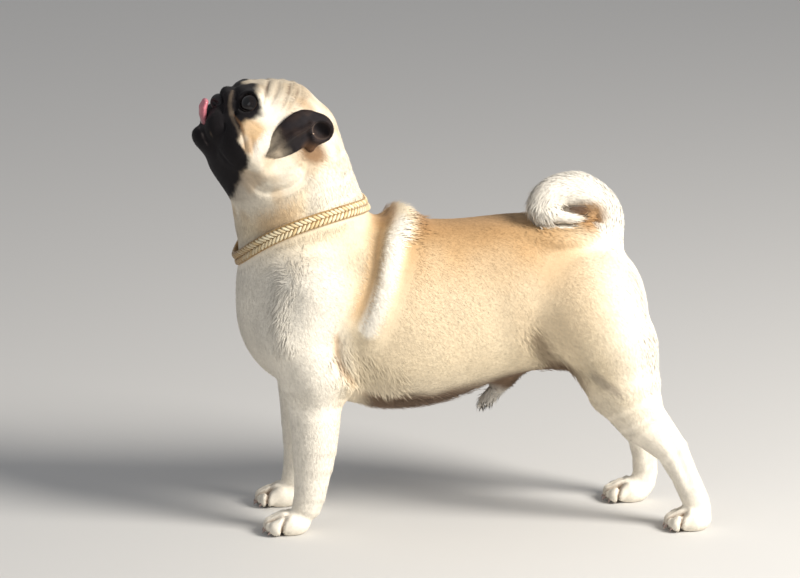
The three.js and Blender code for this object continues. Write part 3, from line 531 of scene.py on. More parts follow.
def surface_net(field, lines, pulls=2):
    """A mesh of the field's zero level: one corner in each cell that the surface crosses."""
    value = sampled(field, lines)
    inside = value < 0
    cells = np.array(value.shape) - 1
    stride = np.array([cells[1] * cells[2], cells[2], 1])
    sums = np.zeros((cells.prod(), 3))
    hits = np.zeros(cells.prod())
    quads = []
    for axis in range(3):
        first = [slice(None)] * 3
        second = [slice(None)] * 3
        first[axis], second[axis] = slice(None, -1), slice(1, None)
        a, b = inside[tuple(first)], inside[tuple(second)]
        at = np.stack(np.nonzero(a != b), 1)
        others = [(axis + 1) % 3, (axis + 2) % 3]
        keep = ((at[:, others] > 0) & (at[:, others] < cells[others])).all(1)
        at = at[keep]
        after = at + np.eye(3, dtype=int)[axis]
        va, vb = value[tuple(at.T)], value[tuple(after.T)]
        spot = np.stack([lines[i][at[:, i]] for i in range(3)], 1)
        length = lines[axis][after[:, axis]] - lines[axis][at[:, axis]]
        spot[:, axis] += va / (va - vb) * length
        base = at @ stride
        u, v = stride[others[0]], stride[others[1]]
        ring = np.stack([base, base - u, base - u - v, base - v], 1)
        for cell in ring.T:
            for i in range(3):
                sums[:, i] += np.bincount(cell, spot[:, i], len(sums))
            hits += np.bincount(cell, minlength=len(hits))
        out = inside[tuple(at.T)]
        ring[~out] = ring[~out][:, ::-1]
        quads.append(ring)
    used = np.flatnonzero(hits)
    points = sums[used] / hits[used, None]
    number = np.full(len(hits), -1)
    number[used] = np.arange(len(used))
    quads = number[np.concatenate(quads)]
    for _ in range(pulls):
        g = gradient(field, points)
        steep = (g * g).sum(1) + 1e-6
        step = np.clip(field(points) / steep, -1, 1)
        points -= g * step[:, None]
    split = np.linalg.norm(points[quads[:, 0]] - points[quads[:, 2]], axis=1)
    other = np.linalg.norm(points[quads[:, 1]] - points[quads[:, 3]], axis=1)
    quads[split > other] = np.roll(quads[split > other], 1, axis=1)
    return points, np.concatenate([quads[:, [0, 1, 2]], quads[:, [0, 2, 3]]])


# The part's solids were moved to stand on the middle of their box: an eye's middle says by how much
low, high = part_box("eye_left")
eye_left = from_head((EYE["at"][0], -EYE["at"][1], EYE["at"][2]))
SHIFT = np.array((low + high) / 2) / MM - eye_left


def placed(p):
    """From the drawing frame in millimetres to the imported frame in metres."""
    return (np.asarray(p) + SHIFT) * MM


def in_scene(name, data):
    made = bpy.data.objects.new(name, data)
    bpy.context.scene.collection.objects.link(made)
    return made


def object_from(name, points, triangles, finish, slot, colours, *nodes):
    """A piece made from a mesh in the drawing frame, with its vertices' colours; it replaces the nodes."""
    mesh = bpy.data.meshes.new(name)
    mesh.vertices.add(len(points))
    mesh.vertices.foreach_set("co", placed(points).astype(np.float32).ravel())
    mesh.loops.add(3 * len(triangles))
    mesh.loops.foreach_set("vertex_index", triangles.astype(np.int32).ravel())
    mesh.polygons.add(len(triangles))
    mesh.polygons.foreach_set("loop_start", np.arange(0, 3 * len(triangles), 3, dtype=np.int32))
    mesh.polygons.foreach_set("use_smooth", np.ones(len(triangles), bool))
    mesh.update(calc_edges=True)
    mesh.materials.append(finish)
    full = np.ones((len(points), 4), np.float32)
    full[:, :3] = colours
    mesh.color_attributes.new("coat", "FLOAT_COLOR", "POINT").data.foreach_set("color", full.ravel())
    piece = in_scene(name, mesh)
    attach(piece, "root")
    if nodes:
        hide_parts(*nodes)
    return piece


def vertex_normals(points, triangles):
    a, b, c = (points[triangles[:, i]] for i in range(3))
    face = np.cross(b - a, c - a)
    total = np.zeros_like(points)
    for i in range(3):
        for axis in range(3):
            total[:, axis] += np.bincount(triangles[:, i], face[:, axis], len(points))
    return unit(total)


# Noise

LATTICE = 32
lattice = np.random.default_rng(7).random((LATTICE,) * 3)


def noise(p, size, shift=0.0):
    """Smooth noise from 0 to 1, in lumps of about the given size in millimetres."""
    q = p / size + shift
    cell = np.floor(q).astype(int)
    t = ramp(q - cell, 0, 1)
    total = 0
    for corner in range(8):
        bits = np.array([corner & 1, corner >> 1 & 1, corner >> 2])
        x, y, z = ((cell + bits) % LATTICE).T
        total = total + np.where(bits, t, 1 - t).prod(1) * lattice[x, y, z]
    return total


# Markings, with painted shade and highlights: linear colours by place

CREAM = np.array([0.80, 0.67, 0.47])
WHITE = np.array([0.90, 0.85, 0.75])
FAWN = np.array([0.55, 0.32, 0.13])
TAN = np.array([0.36, 0.19, 0.075])
BROWN = np.array([0.12, 0.06, 0.03])
BLACK = np.array([0.010, 0.008, 0.009])
GREY = np.array([0.16, 0.13, 0.12])
SHADE_SLATE = np.array([0.20, 0.19, 0.21])
DUN = np.array([0.16, 0.12, 0.085])
RUST = np.array([0.10, 0.03, 0.012])
PINK = np.array([0.62, 0.20, 0.24])
FLESH = np.array([0.60, 0.38, 0.30])


def blob(q, at, size, edge=0.25):
    """1 inside an ellipsoid and 0 outside, with a soft edge that is a share of its size."""
    d = np.linalg.norm((q - np.array(at)) / np.array(size), axis=1)
    return 1 - ramp(d, 1 - edge, 1 + edge)


def stroke(q, path, edge=1.0):
    """1 along a chain of (forward, across, up, radius) points, fading over edge millimetres."""
    return 1 - ramp(rope(path)[0](q), -edge, edge)


def beside(p, path, low, high):
    """1 beside a line of (x, z) points on the sides, fading to 0 from low to high millimetres away."""
    return 1 - ramp(nearest(p[:, [0, 2]], path)[0], low, high)


def layered(colour, layers):
    """Colours laid over the ones before them, each by a share for each point."""
    for over, share in layers:
        colour = tinted(colour, over, share)
    return colour


# The edge of the black mask: how far forward it starts at each height, on the head
MASK_EDGE = [
    (-120, 20), (-95, 0), (-80, -7), (-66, -1), (-50, 4), (-34, 8.5), (-28, 17), (-24, 26), (-9, 29),
    (-3, 27.5), (2, 22), (7, 19), (12, 21), (18, 27.5), (23, 32), (27, 31), (30, 30), (40, 33),
]
STREAKS = [
    [(47, 10, 9.5, 1.2), (47.3, 21.7, 2.8, 1.8), (45.8, 25.3, -2, 2.1), (41.5, 32, -7, 2.2)],
    [(41.5, 32, -7, 2.2), (37.8, 38.7, -11, 1.8), (32.8, 47.2, -13.7, 1.2), (27.6, 52, -19.5, 0.9)],
    [(50, 23, -24, 0.3), (49, 26, -30, 0.9), (44, 31, -37, 0.5)],
]
RUST_LINE = [
    (38.3, 34.6, -6.6, 0.4), (35.9, 41.2, -8.1, 0.8), (31.4, 47.4, -9.5, 1.2), (26.7, 52, -13.4, 1.4),
    (22, 54, -20, 0.8),
]
FOREHEAD_WRINKLE_SHADE = [
    [(34, 4, 28, 1.6), (28, 13, 31, 1.5), (23, 28, 27, 1.0), (18, 36, 23, 0.3)],
    [(22, 3, 36, 1.2), (22.7, 25, 26.5, 1.5), (21.5, 41, 17, 0.4)],
    [(14, 6, 41, 0.8), (14, 21, 35.5, 1.4), (14.7, 33, 26.5, 0.9), (15, 40, 19, 0.2)],
    [(4, 5, 44, 1.3), (4.8, 25, 37.3, 1.9), (4.8, 38.5, 27, 0.9), (5, 43, 21, 0.2)],
    [(-4, 6, 45, 0.9), (-3.5, 21, 41.5, 1.6), (-2, 36, 32, 0.9), (-1, 42, 25, 0.2)],
    [(-12, 15, 45, 0.8), (-10, 30, 38.5, 1.3), (-9, 38, 33, 0.5)],
]
LIP_HIGHLIGHT = [(54, 2, -37, 0.7), (50, 17, -40, 0.8), (42, 23, -45.5, 0.4)]
MOLE = (6.5, 49.6, -41.4)
# Lines of (x, z) points on the sides: the valley before the loose skin, its crest, and creases by the limbs
FOLD_VALLEY_SHADE = [(-72, 296), (-77, 268), (-82, 247), (-91, 222), (-98, 206)]
FOLD_CREST = [(-54, 292), (-60, 272), (-66, 247), (-76, 222), (-84, 204)]
FLANK_SHADE_LINE = [(76, 188), (86, 168), (100, 152), (116, 140)]
THIGH_CREASE = [(130, 156), (141, 147), (152, 139)]
ARM_SHADE_LINE = [(-114, 196), (-113, 172), (-101, 155)]
# The height of the edge of the brown under the belly, partly its thinner hair and partly painted shade, at each
# x
BELLY_SHADE_EDGE = np.array([(-92, 135), (26, 138), (60, 152), (100, 159)], float).T


def on_body(p, wander):
    """The colours of the trunk, neck and legs, with painted shade and highlights in places; wander moves their
    edges a little.
    """
    x, y, z = p.T
    outer = np.abs(y) > 40
    behind = ramp(x - 0.30 * (z - 247), -62, -46)
    before = 1 - ramp(x + 0.25 * (z - 200), 105, 172)
    pale = np.maximum(1 - ramp(z, 60, 170), ramp(-x, 92, 125) * (1 - ramp(z, 245, 300)))
    # The rump's rear is paler, partly as painted highlight where the light falls
    pale = np.maximum(pale, ramp(x + 0.2 * (z - 200), 125, 185))
    tuft = np.maximum(blob(p, (-63, 0, 298), (5, 26, 9), 0.5), blob(p, (-32, 0, 290), (9, 36, 8), 0.5))
    belly_shade = 1 - ramp(z + 10 * wander - np.interp(x, *BELLY_SHADE_EDGE), -7, 8)
    colour = layered(np.tile(CREAM, (len(p), 1)), [
        # The saddle of fawn from the loose skin to the rump, deepest along the top, and the flanks below it
        (mixed(CREAM, FAWN, 0.4), 0.55 * ramp(z + 22 * wander, 150, 235) * behind * before),
        (FAWN, 0.8 * ramp(z + 18 * wander, 222, 290) * behind * (1 - ramp(x, 80, 150))),
        (TAN, 0.6 * ramp(z + 8 * wander, 266, 296) * ramp(x, -48, -34) * (1 - ramp(x, 20, 100))),
        # Painted shade, fawn, in the valley before the loose skin; its crest cream, partly the coat's own
        # colour and partly painted highlight; darker tufts on top
        (mixed(FAWN, CREAM, 0.25), 0.85 * beside(p, FOLD_VALLEY_SHADE, 3, 13) * ramp(z, 196, 225)),
        (WHITE, 0.9 * beside(p, FOLD_CREST, 4, 11)),
        (FAWN, 0.7 * blob(p, (-66, 0, 297), (10, 40, 12), 0.4)),
        (TAN, 0.6 * tuft),
        # Chest, shoulder, legs and rump are the palest; on the rump's rear this is partly painted highlight
        (WHITE, 0.85 * pale),
        # Apricot on the side of the neck; cream on the nape, partly painted highlight where the light falls;
        # and painted shade, bluish, at the throat and breast
        (mixed(FAWN, CREAM, 0.3), 0.8 * blob(p, (-168, 0, 314), (26, 90, 30), 0.35)),
        (WHITE, 0.6 * ramp(z, 285, 330) * ramp(x, -146, -134)),
        (SHADE_SLATE, 0.55 * ramp(-x, 192, 214) * ramp(z, 215, 330)),
        # Browner under the belly, partly its thinner hair and partly painted shade, and painted shade in the
        # flank's hollow; a grey line low on the front of the thigh
        (BROWN, 0.9 * belly_shade * ramp(x, -98, -76) * (1 - ramp(x, 100, 130))),
        (mixed(WHITE, GREY, 0.3), 0.95 * blob(p, (36, 0, 118), (24, 12, 12), 0.4)),
        # Painted shade, brown, in the flank's hollow before the thigh
        (BROWN, 0.5 * beside(p, FLANK_SHADE_LINE, 2, 13) * (np.abs(y) > 20)),
        (GREY, 0.5 * beside(p, THIGH_CREASE, 1, 8) * outer),
        # Painted shade, tan, along the crease behind the upper arm
        (mixed(FAWN, TAN, 0.3), 0.5 * beside(p, ARM_SHADE_LINE, 1, 6) * outer),
    ])
    # Painted shade in the clefts between the toes
    low = np.flatnonzero(z < PAW_TOP)
    cleft = np.zeros(len(p))
    cleft[low] = toe_gap(p[low]) / CLEFT_DEPTH
    deepest = TOE_CLEFT[0][3]
    for leg in LEGS.values():
        away, found = nearest(p[low][:, [0, 2]] - [leg["cleft"], 0], TOE_CLEFT)
        cleft[low] += (1 - ramp(away, 0.5, 2.4)) * on_side(p[low], leg["side"]) * found[:, 3] / deepest
    return tinted(colour, mixed(BROWN, TAN, 0.3), 0.8 * np.clip(cleft, 0, 1))


TAIL_ABOVE = 262


def on_tail(p, reach):
    """True on the tail, and within reach millimetres of it."""
    return (tail_field(p) < reach) & (p[:, 2] > TAIL_ABOVE)


def tail_colours(p, colour):
    """Cream, with brown inside the curl and tan on the near side below it: the brown is painted shade in the
    curl's hollow, the tan partly the fur's own and partly painted shade.
    """
    shade = blob(p, (129, -16, 297), (16, 32, 13), 0.45) * (1 - ramp(p[:, 2], 306, 315))
    return layered(colour, [
        (WHITE, 0.9 * on_tail(p, 4)),
        # Tan below the curl, partly the fur's own and partly painted shade
        (mixed(TAN, FAWN, 0.5), 0.9 * shade),
        # Painted shade: dark brown in the curl's hollow
        (BROWN, 0.9 * blob(p, (114, -19, 304.5), (11, 10, 4.6), 0.5)),
    ])


def mask_share(q, fine):
    """1 in the black mask of the face, 0 outside it; q is on the head, folded to one side."""
    up, ahead = np.array(MASK_EDGE, float).T
    edge = np.interp(q[:, 2], up, ahead) + 3.5 * fine + 4 * (noise(q, 9, 5.2) - 0.5)
    # Between the eyes the black stops short of the brow, leaving the far side of the brow's fold pale: painted
    # highlight
    edge += 9 * (1 - ramp(q[:, 1], 4, 12)) * ramp(q[:, 2], 14, 22)
    soft = 2.4 + 1.4 * ramp(q[:, 2], -5, 15)
    return ramp((q[:, 0] - edge) / soft, -1, 1)


# Soft patches of the head under its mask: colour, share, middle, size and the softness of the edge
HEAD_PATCHES = [
    # Grey-fawn over the brow, fawn below the eye and along the jowl, white on the cheek
    (mixed(CREAM, GREY, 0.45), 0.75, (14, 0, 38), (32, 40, 18), 0.5),
    (mixed(FAWN, CREAM, 0.2), 0.8, (22, 50, -8), (15, 16, 9), 0.4),
    (mixed(FAWN, TAN, 0.4), 0.7, (15, 54, -22), (7, 12, 9), 0.5),
    (WHITE, 0.9, (5, 56, -14), (6, 14, 13), 0.5),
    (WHITE, 0.7, (10, 42, 14), (15, 16, 12), 0.5),
    # Brown below the ear's cup and beside the ear's root
    (mixed(BROWN, TAN, 0.5), 0.9, (-40, 50, 4), (16, 14, 11), 0.5),
    (mixed(FAWN, TAN, 0.3), 0.5, (-17, 36, 38), (13, 9, 7), 0.6),
]


def head_colours(q, fine):
    """The colours of the head, with painted shade and highlights in places; q is in its own frame, folded to
    one side.
    """
    colour = np.tile(mixed(CREAM, WHITE, 0.5), (len(q), 1))
    colour = tinted(colour, mixed(CREAM, FAWN, 0.5), 0.55 * ramp(noise(q, 13, 1.7), 0.45, 0.75))
    colour = layered(colour, [(over, share * blob(q, *place)) for over, share, *place in HEAD_PATCHES])
    # Painted shade, grey-brown, in the forehead's wrinkles
    line, broken = mixed(BROWN, GREY, 0.3), 0.45 + 0.5 * noise(q, 6, 8.3)
    colour = layered(colour, [(line, broken * stroke(q, path, 1.8)) for path in FOREHEAD_WRINKLE_SHADE])
    # Painted shade, grey, under the jaw where it meets the throat
    throat_shade = ramp(q[:, 0] + 40 - 0.2 * q[:, 2], 20, 60) * blob(q, (-6, 30, -62), (24, 34, 22), 0.5)
    colour = layered(colour, [(GREY, 0.6 * throat_shade), (BLACK, mask_share(q, fine))])
    broken = 0.55 + 0.45 * noise(q, 3.1)
    return layered(colour, [
        *[(DUN, broken * stroke(q, path)) for path in STREAKS],
        (mixed(FAWN, RUST, 0.7), 0.6 * stroke(q, RUST_LINE)),
        # A pale spot on the brow between the eyes: painted highlight
        (mixed(CREAM, GREY, 0.35), 0.85 * blob(q, (38.5, 2, 22.5), (5, 6, 4), 0.4)),
        # A light grey line along the lower lip: painted highlight of its wet edge
        (GREY, 0.8 * stroke(q, LIP_HIGHLIGHT, 0.6)),
        (BLACK, 0.8 * blob(q, MOLE, (2.4, 5, 2.4), 0.4)),
    ])


def markings_and_painted_light(p):
    """The coat's colour at each point, painted shade and highlights included, the same for the skin and for the
    tufts that grow there.
    """
    wander = noise(p, 22) - 0.5
    fine = noise(p, 4.5, 3.3) - 0.5
    colour = tail_colours(p, on_body(p, wander))
    near = np.flatnonzero(above_head_cut(p) > -16)
    q = to_head(p[near])
    q[:, 1] = np.abs(q[:, 1])
    share = ramp(above_head_cut(p[near]), -16, 6)
    share = np.maximum(share, mask_share(q, fine[near]) * (q[:, 0] < 60))
    colour[near] = tinted(colour[near], head_colours(q, fine[near]), share)
    return colour * (1 + 0.10 * wander + 0.12 * fine)[:, None]


# Materials


def material(name, base=(0.8, 0.8, 0.8), roughness=0.6, **sockets):
    made = bpy.data.materials.new(name)
    made.use_nodes = True
    shader = made.node_tree.nodes["Principled BSDF"]
    shader.inputs["Base Color"].default_value = (*base, 1)
    shader.inputs["Roughness"].default_value = roughness
    for socket, value in sockets.items():
        shader.inputs[socket.replace("_", " ")].default_value = value
    return made, made.node_tree, shader


def link(tree, a, out, b, into):
    tree.links.new(a.outputs[out], b.inputs[into])


def noise_node(tree, scale, detail=2.0, stretch=(1, 1, 1)):
    place = tree.nodes.new("ShaderNodeTexCoord")
    turn = tree.nodes.new("ShaderNodeMapping")
    turn.inputs["Scale"].default_value = stretch
    node = tree.nodes.new("ShaderNodeTexNoise")
    node.inputs["Scale"].default_value = scale
    node.inputs["Detail"].default_value = detail
    link(tree, place, "Object", turn, "Vector")
    link(tree, turn, "Vector", node, "Vector")
    return node


def bump(tree, shader, source, strength, distance):
    node = tree.nodes.new("ShaderNodeBump")
    node.inputs["Strength"].default_value = strength
    node.inputs["Distance"].default_value = distance
    link(tree, source, "Fac", node, "Height")
    link(tree, node, "Normal", shader, "Normal")


def coloured(name, roughness, speckle, bumps=None, **sockets):
    """A finish over a piece's own colours.

    Speckle is its scale and its least and greatest share of the colour. Bumps are their scale, detail,
    strength and depth, and how far they are stretched.
    """
    made, tree, shader = material(name, roughness=roughness, **sockets)
    colour = tree.nodes.new("ShaderNodeAttribute")
    colour.attribute_name = "coat"
    scale, low, high = speckle
    share = tree.nodes.new("ShaderNodeMapRange")
    share.inputs["To Min"].default_value = low
    share.inputs["To Max"].default_value = high
    link(tree, noise_node(tree, scale, 3), "Fac", share, "Value")
    scaled = tree.nodes.new("ShaderNodeVectorMath")
    scaled.operation = "SCALE"
    link(tree, colour, "Color", scaled, 0)
    link(tree, share, "Result", scaled, "Scale")
    link(tree, scaled, "Vector", shader, "Base Color")
    if bumps:
        scale, detail, strength, depth, *stretch = bumps
        bump(tree, shader, noise_node(tree, scale, detail, *stretch), strength, depth)
    return made


def furry(name, roughness, depth):
    sockets = {"Sheen_Weight": 0.04, "Sheen_Roughness": 0.5, "Specular_IOR_Level": 0.16}
    return coloured(name, roughness, (420, 0.86, 1.14), (900, 2, 0.5, depth), **sockets)


def glossy(name, roughness, coat, *bumps):
    """A wet, leathery or horny finish."""
    sockets = {"Coat_Weight": coat, "Coat_Roughness": 0.05, "Specular_IOR_Level": 0.25}
    return coloured(name, roughness, (500, 0.85, 1.15), bumps, **sockets)


coat_finish = furry("short_fur", 0.62, 0.0002)


# The skin

# Steps of the mesh on the head, the body, its flat sides and the paws
STEPS = ((1.4, 3.3, 2.1, 2.0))
HEAD_STEP, BODY_STEP, SIDE_STEP, PAW_STEP = STEPS
SKIN_LINES = [
    grid_lines([(-262, -105, HEAD_STEP), (-105, 160, BODY_STEP), (160, 262, PAW_STEP)]),
    grid_lines([(-100, -66, BODY_STEP), (-66, 66, SIDE_STEP), (66, 100, BODY_STEP)]),
    grid_lines([(-8, 28, PAW_STEP), (28, 322, BODY_STEP), (322, 446, HEAD_STEP)]),
]
skin_points, skin_triangles = surface_net(skin_field, SKIN_LINES)
LIMBS = ["foreleg", "forepaw", "thigh", "shank", "hindpaw"]
FLESH_NODES = ["head", "neck", "torso", "tail_base", "tail_curl"]
FLESH_NODES += [f"{limb}_{side}" for limb in LIMBS for side, _ in SIDES]
skin_finish = furry("short_fur_skin", 0.75, 0.0006)
skin_colours = markings_and_painted_light(skin_points)
object_from("skin", skin_points, skin_triangles, skin_finish, "coat_fawn", skin_colours, *FLESH_NODES)


# Pieces on the head, meshed in its own frame


def head_mesh(field, box, step, side=1):
    """Points and triangles of a piece from its field; side -1 mirrors it to the left."""
    points, triangles = surface_net(field, [grid_lines([(low, high, step)]) for low, high in box])
    return (points, triangles) if side > 0 else (points * [1, -1, 1], triangles[:, ::-1])


NOSE = [
    ball((49.8, 0, -7.5), (8.2, 12, 8.5)),
    rope([(59, 5, -9, 2.2), (54, 7.5, -9.5, 2.4)], 1.5, pair=True, carve=True),
    rope([(57, 7, -9, 1.2), (52, 12.5, -6.5, 1.2)], 1, pair=True, carve=True),
    rope([(58, 0, -3, 0.5), (58, 0, -14, 0.7)], 1, carve=True),
]
TONGUE_LINE = [
    (40, 0, -32, 3), (52, 0, -30, 3.2), (57, 0, -25, 3.5), (60.5, 0, -19, 3.7), (61.5, 0, -13.5, 3),
]
TONGUE = [
    rope(TONGUE_LINE, wide=2.8),
    rope([(62, 0, -33, 0.4), (64.8, 0, -20, 0.7), (64.5, 0, -13, 0.3)], 3, carve=True),
]


def make_nose():
    points, triangles = head_mesh(blended(NOSE), [(38, 61), (-15, 15), (-19, 3)], 0.6)
    finish = glossy("nose_leather", 0.5, 0.12, 1500, 3, 0.7, 0.0004)
    object_from("nose_leather", from_head(points), triangles, finish, "nose", BLACK * 1.3, "nose")


def make_tongue():
    points, triangles = head_mesh(blended(TONGUE), [(34, 68), (-14, 14), (-38, -7)], 0.8)
    finish = glossy("tongue_flesh", 0.38, 0.3, 1200, 3, 0.4, 0.0003)
    # Darker toward the throat: painted shade where the tongue goes back into the mouth
    colours = tinted(0.55 * PINK, PINK, ramp(points[:, 2], -34, -20))
    object_from("tongue_flesh", from_head(points), triangles, finish, "tongue", colours, "tongue")


# Ears: a folded flap that lies on the cheek, and the cup behind it with its pale rim

EAR_CUP = np.array([-35, 50, 25])
CUP_HOLE = (EAR_CUP + [-1.5, 9, 0.5], np.array([9.6, 12, 8.2]))
EAR_FLAP = [(-30, 46, 27, 12), (-20, 50, 21, 17), (-15, 53, 8, 18), (-10, 53, -7, 14), (-7, 51, -19, 7)]
EAR = [
    rope(smooth_path(EAR_FLAP), wide=0.42),
    ball(EAR_CUP, (14, 9, 13.5), 6),
    rope([(-34, 48, 15, 8), (-37, 48, 6, 5), (-39, 47, 0, 2.5)], 6),
    rope([(-24, 60.5, 26, 1.5), (-14, 62, 10, 2), (-8, 60, -8, 2), (-6, 57, -18, 1)], 7),
    rope([(-28, 58, 14, 1.6), (-23, 61, 0, 1.6), (-16, 59, -12, 1)], 6, carve=True),
    ball(*CUP_HOLE, 2.5, carve=True),
    rope([(-36, 52, 22, 1.2), (-30, 57, 19, 1.3), (-27, 60, 20, 1)], 2),
]
EAR_BOX = [(-54, 14), (38, 68), (-34, 46)]
EAR_STEP = 0.9
EAR_FRINGE = 0.9
EAR_LIE = (0.52, 0.05, -0.85)


def cup_distance(q):
    """1 on the edge of the ear's opening, less inside it."""
    return np.linalg.norm((q - CUP_HOLE[0]) / CUP_HOLE[1], axis=1)


def ear_colours(q):
    """Black, grey at the flap's end, with a flesh-coloured rim round the cup, painted shade inside its opening,
    and a brown patch below it.
    """
    cup = cup_distance(q)
    end = ramp(0.6 * q[:, 0] - q[:, 2] + 5 * (noise(q, 5, 4.1) - 0.5), -12, 14)
    rim = (1 - ramp(np.abs(cup - 1), 0.03, 0.12)) * ramp(q[:, 1], 50, 54)
    low = 0.35 + 0.45 * ramp(25 - q[:, 2] - 0.4 * (q[:, 0] + 36), -8, 6)
    return layered(np.tile(BLACK * 1.6, (len(q), 1)), [
        (BROWN, 0.12 * ramp(noise(q, 7, 2.2), 0.3, 0.8)),
        (mixed(GREY, CREAM, 0.45), 0.95 * end),
        (BROWN, 0.9 * blob(q, (-37, 48, 4), (10, 10, 10), 0.4)),
        (mixed(FLESH, CREAM, 0.35), rim * low),
        # Painted shade: darker black inside the cup's opening
        (BLACK, ramp(1 - cup, 0.08, 0.2)),
    ])


def make_ears():
    shape = blended(EAR)

    def ear_field(p, exact=False):
        return shape(p, exact) + EAR_FRINGE

    finish = furry("ear_fur", 0.7, 0.0004)
    made = []
    for name, side in SIDES:
        points, triangles = head_mesh(ear_field, EAR_BOX, EAR_STEP, side)
        colours = ear_colours(points * [1, side, 1])
        node = f"ear_{name}"
        object_from(f"ear_skin_{name}", from_head(points), triangles, finish, "coat_black", colours, node)
        made.append((name, side, points, triangles))
    return made


# Eyes: a glossy ball, and lids that open over it in an almond shape

LIDS = {"thick": 1.2, "inner": 1.2, "wide": 9.6, "tall": 7.9, "corner": 2.2, "soft": 2.4, "back": 3.5}
LIDS_UP = 0.5
LID_GAP = 0.2
# The edges of pupil and iris in degrees from the gaze, how far the cornea bulges, and its edge
IRIS = {"pupil": 15, "edge": 40, "bulge": 0.7}
IRIS_BROWN = np.array([0.009, 0.005, 0.004])
EYE_WHITE = np.array([0.20, 0.13, 0.10])
PUPIL_BLACK = 0.002


def eye_axes(side):
    """The eye's middle, and the ways across it, up it and out of it, in the drawing frame."""
    f, y, u = EYE["at"]
    gaze = unit((EYE["gaze"][0], side * EYE["gaze"][1], EYE["gaze"][2])) @ HEAD_AXES
    across = unit(np.cross(HEAD_AXES[2], gaze)) * side
    return from_head((f, side * y, u)), np.array([across, unit(np.cross(gaze, across)) * side, gaze])


def lid_field(q, exact=False):
    """Lids round an eye, in its own axes: across toward the ear, up and out."""
    across, up, out = q.T
    far = np.linalg.norm(q, axis=1)
    shell = np.maximum(far - EYE["radius"] - LIDS["thick"], EYE["radius"] - LIDS["inner"] - far)
    # The opening is an almond, drawn out to a corner toward the nose
    pull = LIDS["corner"] * ramp(-across, 3, 11)
    tall = LIDS["tall"] * (1 - 0.25 * ramp(-across, 4, 11))
    opening = np.hypot(across / (LIDS["wide"] + pull), (up - LIDS_UP) / tall)
    lids = -join(-shell, -(1 - opening) * LIDS["tall"], LIDS["soft"])
    return np.maximum(lids, LIDS["back"] - out)


def two_triangles(*corners):
    """The triangles of quads whose corners are given in order."""
    a, b, c, d = (corner.ravel() for corner in corners)
    return [np.stack([a, b, c], -1), np.stack([a, c, d], -1)]


def globe(radius, rings=40, turns=56):
    """A ball about the third axis, as points and triangles."""
    polar = np.linspace(0, math.pi, rings + 1)[1:-1, None]
    turn = 2 * math.pi * np.arange(turns) / turns
    wide = np.sin(polar)
    ring = np.stack([wide * np.cos(turn), wide * np.sin(turn), np.cos(polar) + 0 * turn], -1)
    points = np.concatenate([ring.reshape(-1, 3), [[0, 0, 1], [0, 0, -1]]]) * radius
    i, j = np.meshgrid(np.arange(rings - 2), np.arange(turns), indexing="ij")
    a, b = i * turns + j, i * turns + (j + 1) % turns
    quads = two_triangles(a, a + turns, b + turns, b)
    k = np.arange(turns)
    after = (k + 1) % turns
    north = (rings - 1) * turns
    last = (rings - 2) * turns
    top = np.stack([np.full(turns, north), k, after], -1)
    end = np.stack([np.full(turns, north + 1), last + after, last + k], -1)
    return points, np.concatenate([*quads, top, end])


def make_eyes():
    wet = glossy("eye_wet", 0.05, 0.6)
    rim_finish = glossy("lid_rim", 0.85, 0, 1500, 3, 0.5, 0.0002)
    reach = EYE["radius"] + LIDS["thick"] + 1.5
    lids, lid_faces = head_mesh(lid_field, [(-reach, reach), (-reach, reach), (2, reach)], 0.8)
    orb, orb_faces = globe(EYE["radius"] - LID_GAP)
    angle = np.degrees(np.arctan2(np.hypot(orb[:, 0], orb[:, 1]), orb[:, 2]))
    turn = np.arctan2(orb[:, 1], orb[:, 0])
    edge = IRIS["edge"]
    orb *= (1 + IRIS["bulge"] / EYE["radius"] * (1 - ramp(angle, 18, edge + 4)))[:, None]
    streaks = 0.75 + 0.35 * np.sin(17 * turn) * np.sin(31 * turn + 1)
    colours = layered(np.full(orb.shape, PUPIL_BLACK), [
        (IRIS_BROWN * streaks[:, None], ramp(angle, IRIS["pupil"] - 1.5, IRIS["pupil"] + 1.5)),
        (BLACK * 0.6, ramp(angle, edge - 6, edge)),
        (EYE_WHITE, ramp(angle, edge + 3, edge + 12)),
    ])
    lid_colours = tinted(np.tile(0.5 * BLACK, (len(lids), 1)), BROWN, 0.05 * noise(lids, 2))
    for name, side in SIDES:
        middle, axes = eye_axes(side)
        orb_now, lids_now = orb_faces[:, ::side], lid_faces[:, ::side]
        object_from(f"eyeball_{name}", middle + orb @ axes, orb_now, wet, "eye", colours, f"eye_{name}")
        object_from(f"lids_{name}", middle + lids @ axes, lids_now, rim_finish, "coat_black", lid_colours)


def tube(path, radii, out, sides=8, closed=True):
    """A round tube along a path of points, with a radius at each; out is about square to the path."""
    path = np.asarray(path, float)
    count = len(path)
    along = np.roll(path, -1, 0) - np.roll(path, 1, 0) if closed else np.gradient(path, axis=0)
    along = unit(along)
    out = np.broadcast_to(out, path.shape)
    out = unit(out - (out * along).sum(1)[:, None] * along)
    side = np.cross(along, out)
    angle = 2 * math.pi * np.arange(sides) / sides
    ring = out[:, None] * np.cos(angle)[:, None] + side[:, None] * np.sin(angle)[:, None]
    points = (path[:, None] + ring * np.asarray(radii, float).reshape(-1, 1, 1)).reshape(-1, 3)
    i, j = np.meshgrid(np.arange(count if closed else count - 1), np.arange(sides), indexing="ij")
    here, after = i * sides, (i + 1) % count * sides
    k = (j + 1) % sides
    triangles = two_triangles(here + j, here + k, after + k, after + j)
    if not closed:
        fan = np.arange(1, sides - 1)
        last = (count - 1) * sides
        triangles.append(np.stack([0 * fan, fan + 1, fan], -1))
        triangles.append(np.stack([0 * fan + last, last + fan, last + fan + 1], -1))
    return points, np.concatenate(triangles)


